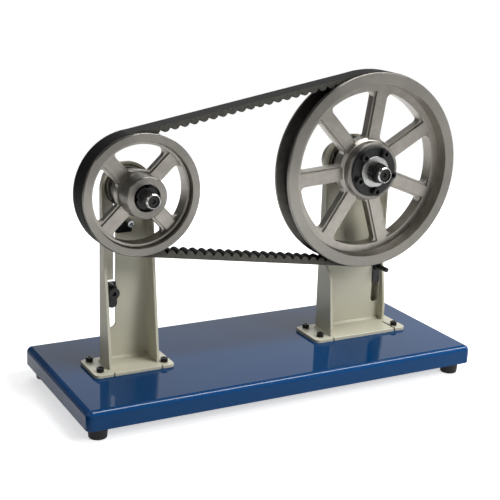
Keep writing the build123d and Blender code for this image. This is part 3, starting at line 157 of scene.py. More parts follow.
def add_node(tree: bpy.types.NodeTree, kind: str, inputs: Optional[dict] = None,
             **settings: object) -> bpy.types.Node:
    """Adds a node with its settings, values and links.

    Args:
        tree: Node tree that gets it.
        kind: Blender's name of the node type.
        inputs: Socket name or number to a value, or to the output socket that feeds it.
        settings: Properties of the node itself.

    Returns:
        The node.
    """
    node = tree.nodes.new(kind)
    for key, value in settings.items():
        setattr(node, key, value)
    for key, value in (inputs or {}).items():
        if isinstance(value, bpy.types.NodeSocket):
            tree.links.new(value, node.inputs[key])
        else:
            node.inputs[key].default_value = value
    return node


# Finishes

@dataclass(frozen=True)
class Finish:
    """A finish with a fine, even grain: the base of the others.

    Args:
        name: Name of the material.
        colour: Main colour, sRGB hex.
        shade: Colour of its darker patches, sRGB hex.
        metallic: 0 or 1.
        roughness: Mean roughness.
        spread: How far the roughness wanders from its mean.
        grain_mm: Size of the surface's grain.
        relief_mm: Height of the grain.
        patch_mm: Size of the colour patches.
        specular: How strongly a surface that isn't metal mirrors, 0.5 for plain glass.
    """

    name: str
    colour: str
    shade: str
    metallic: float = 0.0
    roughness: float = 0.5
    spread: float = 0.06
    grain_mm: float = 1.0
    relief_mm: float = 0.01
    patch_mm: float = 40.0
    specular: float = 0.5

    def place(self, tree: bpy.types.NodeTree) -> bpy.types.NodeSocket:
        """Gives the coordinates that the patterns read."""
        return add_node(tree, "ShaderNodeTexCoord").outputs["Object"]

    def height(self, tree: bpy.types.NodeTree,
               place: bpy.types.NodeSocket) -> bpy.types.NodeSocket:
        """Gives the relief pattern.

        Args:
            tree: Node tree of the material.
            place: Coordinates that the pattern reads.

        Returns:
            The socket with the height, 0 to 1.
        """
        grain = add_node(tree, "ShaderNodeTexNoise", {
            "Vector": place, "Scale": 1 / (self.grain_mm * MM), "Detail": 4.0, "Roughness": 0.55})
        return grain.outputs["Fac"]

    def comb(self, tree: bpy.types.NodeTree, place: bpy.types.NodeSocket,
             shader: bpy.types.Node) -> None:
        """Lets a finish give its gloss a direction. A plain one has none."""

    def build(self) -> bpy.types.Material:
        """Makes the material, or finds it where it was made before.

        Returns:
            The material.
        """
        known = bpy.data.materials.get(self.name)
        if known:
            return known
        material = bpy.data.materials.new(self.name)
        material.use_nodes = True
        tree = material.node_tree
        shader = tree.nodes["Principled BSDF"]
        place = self.place(tree)
        patches = add_node(tree, "ShaderNodeTexNoise", {
            "Vector": place, "Scale": 1 / (self.patch_mm * MM), "Detail": 3.0, "Roughness": 0.5})
        colour = add_node(tree, "ShaderNodeMix", {
            "Factor": patches.outputs["Fac"], "A": linear(self.shade), "B": linear(self.colour)},
            data_type="RGBA")
        height = self.height(tree, place)
        rough = add_node(tree, "ShaderNodeMapRange", {
            "Value": height, "To Min": self.roughness - self.spread,
            "To Max": self.roughness + self.spread})
        bump = add_node(tree, "ShaderNodeBump", {
            "Strength": 1.0, "Distance": self.relief_mm * MM, "Height": height})
        tree.links.new(colour.outputs["Result"], shader.inputs["Base Color"])
        tree.links.new(rough.outputs["Result"], shader.inputs["Roughness"])
        tree.links.new(bump.outputs["Normal"], shader.inputs["Normal"])
        shader.inputs["Metallic"].default_value = self.metallic
        shader.inputs["Specular IOR Level"].default_value = self.specular
        self.comb(tree, place, shader)
        return material


@dataclass(frozen=True)
class Turned(Finish):
    """A face cut on a lathe: rings round the turning axis, and rings along it on its cylinders.

    Args:
        axis: X and Z of the turning axis, in metres.
        pitch_mm: Spacing of the tool marks.
        combed: How far the gloss is drawn out across them.
    """

    axis: tuple[float, float] = (0.0, 0.0)
    pitch_mm: float = 0.8
    combed: float = 0.9

    def from_axis(self, tree: bpy.types.NodeTree, place: bpy.types.NodeSocket) -> bpy.types.Node:
        """Splits a place into its distances from the turning axis.

        Args:
            tree: Node tree of the material.
            place: Coordinates of the place.

        Returns:
            A node with the outputs X, Y and Z.
        """
        away = add_node(tree, "ShaderNodeVectorMath", {
            0: place, 1: (self.axis[0], 0.0, self.axis[1])}, operation="SUBTRACT")
        return add_node(tree, "ShaderNodeSeparateXYZ", {"Vector": away.outputs["Vector"]})

    def height(self, tree: bpy.types.NodeTree,
               place: bpy.types.NodeSocket) -> bpy.types.NodeSocket:
        """Gives tool marks that follow the radius and the length.

        Args:
            tree: Node tree of the material.
            place: Coordinates that the pattern reads.

        Returns:
            The socket with the height, 0 to 1.
        """
        apart = self.from_axis(tree, place)
        flat = add_node(tree, "ShaderNodeCombineXYZ", {
            "X": apart.outputs["X"], "Y": apart.outputs["Z"]})
        radius = add_node(tree, "ShaderNodeVectorMath", {
            0: flat.outputs["Vector"]}, operation="LENGTH")
        along = add_node(tree, "ShaderNodeCombineXYZ", {
            "X": radius.outputs["Value"], "Y": apart.outputs["Y"]})
        marks = add_node(tree, "ShaderNodeTexNoise", {
            "Vector": along.outputs["Vector"], "Scale": 1 / (self.pitch_mm * MM),
            "Detail": 2.0, "Roughness": 0.6}, noise_dimensions="2D")
        return marks.outputs["Fac"]

    def comb(self, tree: bpy.types.NodeTree, place: bpy.types.NodeSocket,
             shader: bpy.types.Node) -> None:
        """Spreads the gloss across the tool marks, which run round the axis.

        Args:
            tree: Node tree of the material.
            place: Coordinates of the surface.
            shader: Principled node that gets the direction.
        """
        apart = self.from_axis(tree, place)
        outward = add_node(tree, "ShaderNodeCombineXYZ", {
            "X": apart.outputs["X"], "Z": apart.outputs["Z"]})
        turned = add_node(tree, "ShaderNodeVectorTransform", {
            "Vector": outward.outputs["Vector"]},
            vector_type="VECTOR", convert_from="OBJECT", convert_to="WORLD")
        tree.links.new(turned.outputs["Vector"], shader.inputs["Tangent"])
        shader.inputs["Anisotropic"].default_value = self.combed


@dataclass(frozen=True)
class Cogged(Finish):
    """Moulded rubber whose pattern follows the belt: U runs along it and V round its section.

    Args:
        thread_mm: Width of the cords that show. Real ones are finer and wouldn't show.
        streak_threads: Length of a cord between two breaks, in its own widths.
    """

    thread_mm: float = 1.1
    streak_threads: float = 14.0

    def place(self, tree: bpy.types.NodeTree) -> bpy.types.NodeSocket:
        """Gives the belt's own coordinates, in metres."""
        return add_node(tree, "ShaderNodeUVMap", uv_map="belt").outputs["UV"]

    def height(self, tree: bpy.types.NodeTree,
               place: bpy.types.NodeSocket) -> bpy.types.NodeSocket:
        """Gives cords that run along the belt, broken up by dust.

        Args:
            tree: Node tree of the material.
            place: Coordinates that the pattern reads.

        Returns:
            The socket with the height, 0 to 1.
        """
        across = 1 / (self.thread_mm * MM)
        drawn = add_node(tree, "ShaderNodeMapping", {
            "Vector": place, "Scale": (across / self.streak_threads, across, 1.0)})
        cords = add_node(tree, "ShaderNodeTexNoise", {
            "Vector": drawn.outputs["Vector"], "Scale": 1.0, "Detail": 3.0, "Roughness": 0.6})
        grain = add_node(tree, "ShaderNodeTexNoise", {
            "Vector": place, "Scale": 1 / (self.grain_mm * MM), "Detail": 3.0})
        both = add_node(tree, "ShaderNodeMath", {
            0: cords.outputs["Fac"], 1: grain.outputs["Fac"]}, operation="ADD")
        half = add_node(tree, "ShaderNodeMath", {
            0: both.outputs["Value"], 1: 0.5}, operation="MULTIPLY")
        return half.outputs["Value"]


# Baked enamel: deep blue, smooth and glossy, so that the columns mirror in it.
ENAMEL = Finish("baked_enamel_blue", "0B3A66", "0A355E", roughness=0.05, spread=0.01,
                grain_mm=2.4, relief_mm=0.001, patch_mm=160.0, specular=0.1)
# The same enamel over the bends that face upward, painted lighter: partly enamel drawn thin there,
# partly a painted highlight. Its higher specular mirrors the lamps as a bright line.
BEND_THIN_AND_PAINTED_HIGHLIGHT = replace(ENAMEL, name="baked_enamel_blue_bend_painted_highlight", colour="0F4378", shade="0D3D6E",
               roughness=0.09, specular=0.5)
# Powder coat: warm pale grey with the fine orange peel of cured powder.
POWDER = Finish("powder_coat_stone", "C2BFAD", "BBB8A5", roughness=0.4, spread=0.05,
                grain_mm=1.6, relief_mm=0.012, patch_mm=60.0)
# Cast aluminium alloy, brushed after casting: satin grey with a sandy skin, drawn coarser than
# the real one to show.
CAST = Finish("cast_alloy_satin", "A6A29B", "827E78", metallic=1.0, roughness=0.38, spread=0.12,
              grain_mm=1.3, relief_mm=0.035, patch_mm=11.0)
# Belt groove: the alloy painted darker as painted shade in the recess under the belt, and rubbed
# dull.
GROOVE = Finish("groove_alloy_painted_shade", "5F5C58", "3C3A37", metallic=1.0, roughness=0.48,
                spread=0.1, grain_mm=1.4, relief_mm=0.02, patch_mm=9.0)
# Black oxide on steel: nearly black, with the dull gloss that oil leaves.
BLACK = Finish("black_oxide_steel", "1B1B1B", "131313", roughness=0.34, spread=0.08,
               grain_mm=0.8, relief_mm=0.006, patch_mm=8.0, specular=0.3)
# Bright zinc plate: pale, slightly blue, lightly clouded.
ZINC = Finish("bright_zinc_plate", "C9CCCE", "B9BDC0", metallic=1.0, roughness=0.27,
              spread=0.06, grain_mm=1.2, relief_mm=0.006, patch_mm=9.0)
# Dull zinc plate: rougher and more even than the bright one.
DULL_ZINC = Finish("dull_zinc_plate", "B7B9B6", "ABADAA", metallic=1.0, roughness=0.44,
                   spread=0.05, grain_mm=1.0, relief_mm=0.006, patch_mm=9.0)
# Machined cast iron: warm grey with open grain.
IRON = Finish("machined_cast_iron", "A5A299", "96938A", metallic=1.0, roughness=0.45,
              spread=0.08, grain_mm=0.7, relief_mm=0.02, patch_mm=14.0)
# Ground bearing steel: hard, bright and nearly smooth.
GROUND = Finish("ground_bearing_steel", "CFCFCD", "C6C6C4", metallic=1.0, roughness=0.16,
                spread=0.03, grain_mm=0.5, relief_mm=0.001, patch_mm=6.0)
# Moulded nitrile rubber: matt black, a little dusty.
RUBBER = Finish("moulded_rubber_black", "1D1D1D", "151515", roughness=0.72, spread=0.06,
                grain_mm=0.6, relief_mm=0.02, patch_mm=7.0, specular=0.35)
# Moulded cap plastic: black with a fine spark-eroded texture.
CAP = Finish("moulded_cap_plastic", "202020", "1A1A1A", roughness=0.5, spread=0.05,
             grain_mm=0.5, relief_mm=0.012, patch_mm=12.0)
# Wrapped back of the belt: nearly black woven rubber.
BACK = Cogged("belt_back_rubber", "191918", "101010", roughness=0.62, spread=0.06,
              grain_mm=0.8, relief_mm=0.03, patch_mm=22.0, specular=0.08)
# Raw edge of the belt: dark grey cut rubber with cords drawn along it.
EDGE = Cogged("belt_raw_edge_rubber", "56554F", "302F2C", roughness=0.66, spread=0.08,
              grain_mm=0.7, relief_mm=0.08, patch_mm=5.0, specular=0.16)
# Turned aluminium face: rings left by the lathe tool, drawn coarser than the real ones to show.
LEFT_FACE = Turned("turned_alloy_small", "8D8A84", "7C7974", metallic=1.0, roughness=0.38,
                   spread=0.12, relief_mm=0.03, patch_mm=25.0, axis=LEFT_AXIS, pitch_mm=1.4)
RIGHT_FACE = replace(LEFT_FACE, name="turned_alloy_large", axis=RIGHT_AXIS)
# Turned shaft steel: brighter and finer than the alloy, its marks drawn coarser than real ones.
LEFT_STEEL = Turned("turned_steel_left", "C8C7C4", "BAB9B6", metallic=1.0, roughness=0.22,
                    spread=0.06, relief_mm=0.006, patch_mm=15.0, axis=LEFT_AXIS, pitch_mm=0.5)
RIGHT_STEEL = replace(LEFT_STEEL, name="turned_steel_right", axis=RIGHT_AXIS)


# Mesh helpers

def scene_object(name: str, work: bmesh.types.BMesh) -> bpy.types.Object:
    """Turns a bmesh into an object of the scene.

    Args:
        name: Name of the object and of its mesh.
        work: Its shape, which is freed here.

    Returns:
        The object.
    """
    mesh = bpy.data.meshes.new(name)
    work.to_mesh(mesh)
    work.free()
    made = bpy.data.objects.new(name, mesh)
    bpy.context.scene.collection.objects.link(made)
    return made


def eased_copy(frame: dict, node: str, width_mm: float, segments: int) -> bmesh.types.BMesh:
    """Copies a CAD node, merges its loose triangles and rounds its sharp edges.

    Args:
        node: Name of the CAD node.
        width_mm: Width of the rounding.
        segments: Steps across the rounding.

    Returns:
        The eased shape.
    """
    work = bmesh.new()
    work.from_mesh(frame["nodes"][node].data)
    bmesh.ops.remove_doubles(work, verts=work.verts, dist=SAME_CORNER)
    bmesh.ops.dissolve_limit(work, angle_limit=radians(SAME_FACE), verts=work.verts,
                             edges=work.edges)
    many = [face for face in work.faces if len(face.verts) > MOST_CORNERS]
    bmesh.ops.triangulate(work, faces=many)
    edges = [edge for edge in work.edges
             if edge.is_manifold and edge.calc_face_angle(0.0) > radians(EASED_TURN)]
    bmesh.ops.bevel(work, geom=edges, offset=width_mm * MM, offset_type="OFFSET",
                    affect="EDGES", segments=segments, profile=0.5, material=-1,
                    clamp_overlap=True)
    return work


def publish(name: str, work: bmesh.types.BMesh, finishes: Sequence[Finish], body: Body,
            node: str) -> None:
    """Turns a bmesh into a finished piece that rides on a body and stands for a CAD node.

    Args:
        name: Name of the piece.
        work: Its shape, which is freed here.
        finishes: One finish per material index.
        body: Body that carries it.
        node: CAD node that it stands for.
    """
    for face in work.faces:
        face.smooth = True
    for edge in work.edges:
        turn = edge.calc_face_angle(0.0) if edge.is_manifold else 0.0
        edge.smooth = turn <= radians(SHARP_TURN)
    piece = scene_object(name, work)
    for finish in finishes:
        piece.data.materials.append(finish.build())
    weights = piece.modifiers.new("even_shading", "WEIGHTED_NORMAL")
    weights.keep_sharp = True
    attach(piece, body.value)
    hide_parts(node)
    log.info("%s: %d faces on %s", name, len(piece.data.polygons), body.value)


# Sub-assemblies

@dataclass(frozen=True)
class Eased:
    """A CAD node whose shape is right, shown with eased edges and one finish.

    Args:
        node: Name of the CAD node.
        body: Body that carries it.
        finish: Its finish.
        slot: The record's material slot. Not used.
        width_mm: Width of the eased edges.
        segments: Steps across them.
    """

    node: str
    body: Body
    finish: Finish
    slot: Slot
    width_mm: float = 0.25
    segments: int = 2

    def build(self, frame: dict) -> None:
        work = eased_copy(frame, self.node, self.width_mm, self.segments)
        publish(f"{self.node}_eased", work, [self.finish], self.body, self.node)


@dataclass(frozen=True)
class Assembly:
    """A sub-assembly. Each kind lists its pieces that only need eased edges and one finish."""

    def pieces(self) -> list[Eased]:
        """Lists those pieces."""
        return []

    def build(self, frame: dict) -> None:
        for piece in self.pieces():
            piece.build(frame)


@dataclass(frozen=True)
class Base(Assembly):
    """The folded tray, whose enamel shines more over the bends and is painted lighter there,
    partly as a painted highlight, and what is fixed under it.

    Args:
        painted_highlight_bend: Upward share of the normal, least and greatest, of the bends
            painted lighter.
        tray_mm: Width of the tray's eased edges.
        tray_segments: Steps across them.
        gusset_mm: Width of the gussets' eased edges.
        foot_mm: Width of the rubber feet's eased edges.
    """

    painted_highlight_bend: tuple[float, float] = (0.3, 0.97)
    tray_mm: float = 0.5
    tray_segments: int = 3
    gusset_mm: float = 0.3
    foot_mm: float = 0.5

    def pieces(self) -> list[Eased]:
        """Lists what is fixed under the tray.

        Returns:
            The gussets, the feet and their fasteners.
        """
        return [
            Eased("foot_gussets", Body.STAND, ENAMEL, Slot.BASE_ENAMEL, self.gusset_mm),
            Eased("rubber_feet", Body.STAND, RUBBER, Slot.FOOT_RUBBER, self.foot_mm),
            Eased("foot_screws", Body.STAND, ZINC, Slot.ZINC_STEEL),
            Eased("foot_nuts", Body.STAND, ZINC, Slot.ZINC_STEEL)]

    def build(self, frame: dict) -> None:
        """Makes the tray and its pieces.
        """
        work = eased_copy(frame, "base_tray", self.tray_mm, self.tray_segments)
        # The bends that face upward get the lighter, shinier enamel: partly thin enamel, partly
        # painted highlight.
        for face in work.faces:
            face.material_index = int(self.painted_highlight_bend[0] < face.normal.z < self.painted_highlight_bend[1])
        publish("base_tray_enamelled", work, [ENAMEL, BEND_THIN_AND_PAINTED_HIGHLIGHT], Body.STAND, "base_tray")
        super().build(frame)


@dataclass(frozen=True)
class Column(Assembly):
    """A folded column on its foot plate, with the plates and fasteners that hold it.

    Args:
        side: Side of the model.
        fittings: Pieces that only this column has.
        sheet_mm: Width of the eased edges of column and foot plate.
        sheet_segments: Steps across them.
        weld_mm: Width of the welds' eased edges, and of the carrier plate's.
        plate_mm: Width of the backing plate's eased edges, and of the screws'.
    """

    side: Side
    fittings: tuple[Eased, ...]
    sheet_mm: float = 0.5
    sheet_segments: int = 3
    weld_mm: float = 0.4
    plate_mm: float = 0.3

    def pieces(self) -> list[Eased]:
        """Lists the column's pieces.

        Returns:
            Its own fittings, and then what both columns have.
        """
        side, stand = self.side.value, Body.STAND
        sheet = (self.sheet_mm, self.sheet_segments)
        return [
            *self.fittings,
            Eased(f"{side}_foot_plate", stand, POWDER, Slot.COLUMN_PAINT, *sheet),
            Eased(f"{side}_mount_screws", stand, BLACK, Slot.BLACK_STEEL, self.plate_mm),
            Eased(f"{side}_backing_plate", stand, ZINC, Slot.ZINC_STEEL, self.plate_mm),
            Eased(f"{side}_mount_nuts", stand, ZINC, Slot.ZINC_STEEL),
            Eased(f"{side}_column", stand, POWDER, Slot.COLUMN_PAINT, *sheet),
            Eased(f"{side}_welds", stand, POWDER, Slot.COLUMN_PAINT, self.weld_mm),
            Eased(f"{side}_carrier_plate", stand, POWDER, Slot.COLUMN_PAINT, self.weld_mm)]


@dataclass(frozen=True)
class Bearings(Assembly):
    """A housing with its two bearings, and the shaft that turns in them.

    Args:
        side: Side of the model.
        rotor: Body that carries what turns.
        steel: Finish of the shaft.
        housing_mm: Width of the eased edges of housing and cap.
        ring_mm: Width of the eased edges of rings and spacer.
        cage_mm: Width of the eased edges of the balls' cages.
        clip_mm: Width of the circlip's eased edges.
    """

    side: Side
    rotor: Body
    steel: Finish
    housing_mm: float = 0.4
    ring_mm: float = 0.2
    cage_mm: float = 0.05
    clip_mm: float = 0.15

    def pieces(self) -> list[Eased]:
        """Lists the pieces round and on the shaft.

        Returns:
            What stands still, and then what turns.
        """
        side, stand, rotor = self.side.value, Body.STAND, self.rotor
        bearing = Slot.BEARING_STEEL
        return [
            Eased(f"{side}_bearing_housing", stand, IRON, Slot.HOUSING_IRON, self.housing_mm),
            Eased(f"{side}_housing_screws", stand, BLACK, Slot.BLACK_STEEL),
            Eased(f"{side}_rear_cap", stand, CAP, Slot.CAP_PLASTIC, self.housing_mm),
            Eased(f"{side}_bearing_outer_rings", stand, GROUND, bearing, self.ring_mm),
            Eased(f"{side}_bearing_inner_rings", rotor, GROUND, bearing, self.ring_mm),
            Eased(f"{side}_ball_cages", rotor, GROUND, bearing, self.cage_mm),
            Eased(f"{side}_shaft_spacer", rotor, self.steel, Slot.TURNED_STEEL, self.ring_mm),
            Eased(f"{side}_circlip", rotor, BLACK, Slot.BLACK_STEEL, self.clip_mm),
            Eased(f"{side}_shaft", rotor, self.steel, Slot.TURNED_STEEL),
            Eased(f"{side}_shaft_end_screw", rotor, BLACK, Slot.BLACK_STEEL)]


@dataclass(frozen=True)
class Pulley(Assembly):
    """A pulley whose faces are finished by how they were made, with painted shade in its belt
    groove, and with its key, washer and nut.

    Args:
        node: Name of the CAD node, with which its fittings' names begin.
        body: Body that carries it.
        axis: X and Z of its axis, in metres.
        face: Finish of its turned faces.
        steel: Finish of its key.
        washer: Piece under its nut.
        rim_mm: Radius of the rim.
        land_mm: Inner radius of the rim's front land.
        hub_mm: Radius of the hub.
        rim_slack_mm: How far a groove's face may lie below the groove's depth.
        land_slack_mm: The same for a land's face inside its inner radius, where it is eased.
        hub_slack_mm: The same for a hub's face outside the hub's radius.
        edge_mm: Width of the eased edges.
        edge_segments: Steps across them.
        key_mm: Width of the key's eased edges.
        nut_mm: Width of the nut's eased edges.
    """

    node: str
    body: Body
    axis: tuple[float, float]
    face: Finish
    steel: Finish
    washer: Eased
    rim_mm: float
    land_mm: float
    hub_mm: float
    rim_slack_mm: float = 0.5
    land_slack_mm: float = 0.4
    hub_slack_mm: float = 0.5
    edge_mm: float = 0.7
    edge_segments: int = 3
    key_mm: float = 0.2
    nut_mm: float = 0.4

    def pieces(self) -> list[Eased]:
        """Lists what fixes the pulley to its shaft.

        Returns:
            Its key, washer and nut.
        """
        return [
            Eased(f"{self.node}_key", self.body, self.steel, Slot.TURNED_STEEL, self.key_mm),
            self.washer,
            Eased(f"{self.node}_nut", self.body, BLACK, Slot.BLACK_STEEL, self.nut_mm)]

    def made_by(self, face: bmesh.types.BMFace) -> Made:
        """Tells how a face was made.

        Args:
            face: A face of the pulley.

        Returns:
            Its way of making.
        """
        radii = [hypot(corner.co.x - self.axis[0], corner.co.z - self.axis[1]) / MM
                 for corner in face.verts]
        along = face.calc_center_median().y / MM
        groove_floor = self.rim_mm - GROOVE_DEPTH - self.rim_slack_mm
        between_lands = RIM_FRONT_Y + GROOVE_LAND < along < RIM_REAR_Y - GROOVE_LAND
        if min(radii) > groove_floor and between_lands:
            return Made.GROOVE
        on_land = min(radii) > self.land_mm - self.land_slack_mm
        on_hub = max(radii) < self.hub_mm + self.hub_slack_mm
        return Made.TURNED if on_land or on_hub else Made.CAST

    def build(self, frame: dict) -> None:
        """Makes the pulley and its pieces.
        """
        work = eased_copy(frame, self.node, self.edge_mm, self.edge_segments)
        for face in work.faces:
            face.material_index = self.made_by(face).value
        # The groove faces take the darker alloy, as painted shade under the belt.
        publish(f"{self.node}_finished", work, [CAST, self.face, GROOVE], self.body,
                self.node)
        super().build(frame)


@dataclass(frozen=True)
class BushedPulley(Pulley):
    """A pulley on a flanged bush, held by a second nut.

    Args:
        bush_mm: Width of the bush's eased edges.
        jam_nut_mm: Width of the second nut's eased edges, which its grooves keep narrow.
    """

    bush_mm: float = 0.4
    jam_nut_mm: float = 0.15

    def pieces(self) -> list[Eased]:
        """Lists what fixes the pulley to its shaft.

        Returns:
            The pieces of a plain pulley, the bush with its screws, and the second nut.
        """
        body, slot = self.body, Slot.BLACK_STEEL
        return super().pieces() + [
            Eased(f"{self.node}_bush", body, BLACK, slot, self.bush_mm),
            Eased("bush_screws", body, BLACK, slot),
            Eased(f"{self.node}_jam_nut", body, BLACK, slot, self.jam_nut_mm)]


@dataclass(frozen=True)
class Clamp(Assembly):
    """A block that slides in a column's slot, drawn tight by a screw or a stud.

    Args:
        side: Side of the model.
        body: Body that carries it.
        bolt: What draws it tight.
        nut: The nut behind it.
        block_mm: Width of the block's eased edges.
        bolt_mm: Width of the bolt's eased edges.
    """

    side: Side
    body: Body
    bolt: Bolt
    nut: Eased
    block_mm: float = 0.4
    bolt_mm: float = 0.3

    def pieces(self) -> list[Eased]:
        """Lists the clamp's pieces.

        Returns:
            Block, bolt and nut.
        """
        side, body, slot = self.side.value, self.body, Slot.BLACK_STEEL
        return [
            Eased(f"{side}_slide_block", body, BLACK, slot, self.block_mm),
            Eased(f"{side}_clamp_{self.bolt.value}", body, BLACK, slot, self.bolt_mm),
            self.nut]


@dataclass(frozen=True)
class Belt(Assembly):
    """The cogged belt, with a map that runs along it.

    Args:
        node: Name of the CAD node.
        small_mm: Radius of its outer face round the small pulley.
        large_mm: Radius of its outer face round the large pulley.
        side_share: Share of the normal along the shafts from which a face is a raw side.
        seam_m: Corners of a face that lie further apart than this along the belt, in metres,
            lie on both sides of the map's seam.
        edge_mm: Width of the eased edges.
        edge_segments: Steps across them.
    """

    node: str = "drive_belt"
    small_mm: float = 68.6
    large_mm: float = 118.6
    side_share: float = 0.5
    seam_m: float = 0.17
    edge_mm: float = 0.4
    edge_segments: int = 2

    def place(self, x: float, z: float) -> tuple[float, float]:
        """Finds a point's place along the belt.

        Args:
            x: X of the point in metres.
            z: Z of the point in metres.

        Returns:
            Length along the belt and depth inside its outer face, in metres.
        """
        small, large = self.small_mm * MM, self.large_mm * MM
        span = Vector((RIGHT_AXIS[0] - LEFT_AXIS[0], RIGHT_AXIS[1] - LEFT_AXIS[1]))
        along = span.normalized()
        point = Vector((x - LEFT_AXIS[0], z - LEFT_AXIS[1]))
        ahead, side = point.dot(along), along.x * point.y - along.y * point.x
        sign = 1 if side >= 0 else -1
        lean = asin((large - small) / span.length)
        strand = span.length * cos(lean)
        run = ahead * cos(lean) + abs(side) * sin(lean)
        if run < 0:
            turn = atan2(abs(side), ahead) - pi / 2 - lean
            return sign * -small * turn, small - hypot(ahead, side)
        if run > strand:
            ahead -= span.length
            turn = pi / 2 + lean - atan2(abs(side), ahead)
            return sign * (strand + large * turn), large - hypot(ahead, side)
        return sign * run, small + ahead * sin(lean) - abs(side) * cos(lean)

    def lay_map(self, work: bmesh.types.BMesh) -> None:
        """Lays the map and tells the back and the cogs from the raw sides.

        Args:
            work: The belt's shape.
        """
        layer = work.loops.layers.uv.new("belt")
        for face in work.faces:
            raw_side = abs(face.normal.y) > self.side_share
            face.material_index = int(raw_side)
            centre = face.calc_center_median()
            middle, _ = self.place(centre.x, centre.z)
            for loop in face.loops:
                length, depth = self.place(loop.vert.co.x, loop.vert.co.z)
                if abs(length - middle) > self.seam_m:
                    length = middle
                loop[layer].uv = (length, depth if raw_side else loop.vert.co.y)

    def build(self, frame: dict) -> None:
        """Makes the belt.
        """
        work = eased_copy(frame, self.node, self.edge_mm, self.edge_segments)
        self.lay_map(work)
        publish(f"{self.node}_finished", work, [BACK, EDGE], Body.STAND, self.node)


# Studio

Point = tuple[float, float, float]


@dataclass(frozen=True)
class Lamp:
    """A soft box.

    Args:
        name: Name of the lamp.
        place: Its middle, in metres.
        aim: Point that it faces.
        size: Its width and height.
        power: Its power in watts.
        mirrored: Whether metal and gloss show it.
    """

    name: str
    place: Point
    aim: Point
    size: tuple[float, float]
    power: float
    mirrored: bool = True

    def build(self) -> None:
        """Makes the lamp."""
        data = bpy.data.lights.new(self.name, "AREA")
        data.shape = "RECTANGLE"
        data.size, data.size_y = self.size
        data.energy = self.power
        lamp = bpy.data.objects.new(self.name, data)
        bpy.context.scene.collection.objects.link(lamp)
        lamp.location = self.place
        lamp.rotation_mode = "QUATERNION"
        lamp.rotation_quaternion = (Vector(self.aim) - Vector(self.place)).to_track_quat("-Z", "Y")
        lamp.visible_glossy = self.mirrored


@dataclass(frozen=True)
class Card:
    """A sheet of paper that only reflections show: it gives the metal its contrast.

    Args:
        name: Name of the card.
        grey: Brightness of the paper, 1 for white.
        place: Its middle, in metres.
        size: Its width and height.
        turn: How it is turned from lying flat, about X, Y and Z.
    """

    name: str
    grey: float
    place: Point
    size: tuple[float, float]
    turn: Point

    def build(self) -> None:
        """Makes the card."""
        work = bmesh.new()
        # The grid's size is half its side, so that this is a square of one metre.
        bmesh.ops.create_grid(work, x_segments=1, y_segments=1, size=0.5)
        bmesh.ops.scale(work, vec=(*self.size, 1.0), verts=work.verts)
        bmesh.ops.rotate(work, matrix=Euler(self.turn).to_matrix(), verts=work.verts)
        bmesh.ops.translate(work, vec=self.place, verts=work.verts)
        card = scene_object(self.name, work)
        material = bpy.data.materials.new(f"{self.name}_paper")
        material.use_nodes = True
        tree = material.node_tree
        tree.nodes.clear()
        glow = add_node(tree, "ShaderNodeEmission", {
            "Color": (self.grey, self.grey, self.grey, 1.0), "Strength": 1.0})
        add_node(tree, "ShaderNodeOutputMaterial", {"Surface": glow.outputs["Emission"]})
        card.data.materials.append(material)
        card.visible_camera = False
        card.visible_diffuse = False
        card.visible_shadow = False
        card.visible_transmission = False


def on_view(tree: bpy.types.NodeTree) -> bpy.types.NodeSocket:
    """Tells the rays that show the background from those that light the object.

    Args:
        tree: Node tree that asks.

    Returns:
        A socket with 1 on rays from the camera, off gloss or through clear material, else 0.
    """
    path = add_node(tree, "ShaderNodeLightPath")
    mirrored = add_node(tree, "ShaderNodeMath", {
        0: path.outputs["Is Camera Ray"], 1: path.outputs["Is Glossy Ray"]},
        operation="MAXIMUM")
    seen = add_node(tree, "ShaderNodeMath", {
        0: mirrored.outputs["Value"], 1: path.outputs["Is Transmission Ray"]},
        operation="MAXIMUM")
    return seen.outputs["Value"]


# Middle of the object, in metres
MIDDLE: Point = (0.0, 0.0, 0.15)
# How a card is turned that lies flat, that stands across the picture, and that stands along it
FLAT: Point = (0.0, 0.0, 0.0)
ACROSS: Point = (pi / 2, 0.0, 0.0)
ALONG: Point = (pi / 2, 0.0, pi / 2)

# A key from the right, a strip right of the large pulley, a weak fill and one behind.
LAMPS = (
    Lamp("key", place=(1.15, -1.7, 1.35), aim=MIDDLE, size=(0.9, 0.9), power=34.0,
         mirrored=False),
    Lamp("overhead", place=(0.8, -0.45, 1.35), aim=(0.8, -0.44, 0.0), size=(1.5, 0.4),
         power=19.0),
    Lamp("fill", place=(-1.9, -1.2, 1.0), aim=MIDDLE, size=(1.4, 1.4), power=1.5),
    Lamp("back", place=(0.3, 1.9, 1.9), aim=MIDDLE, size=(1.6, 1.6), power=20.0))

# One bright card behind for the top of the base, and dark ones round it.
CARDS = (
    Card("card_behind", 1.3, place=(1.25, 1.6, 0.55), size=(2.3, 1.1), turn=ACROSS),
    Card("card_behind_left", 0.1, place=(-1.4, 1.6, 0.75), size=(3.0, 1.5), turn=ACROSS),
    Card("card_behind_top", 0.1, place=(0.5, 1.65, 2.0), size=(4.0, 1.8), turn=ACROSS),
    Card("card_beside", 0.12, place=(-0.44, 0.1, 0.004), size=(0.3, 0.6), turn=FLAT),
    Card("card_front", 0.08, place=(0.8, -2.4, 1.25), size=(5.0, 2.46), turn=ACROSS),
    Card("card_above", 0.1, place=(0.0, -0.6, 2.4), size=(5.0, 4.0), turn=FLAT),
    Card("card_left", 0.25, place=(-1.3, -0.2, 0.4), size=(1.8, 0.8), turn=ALONG))


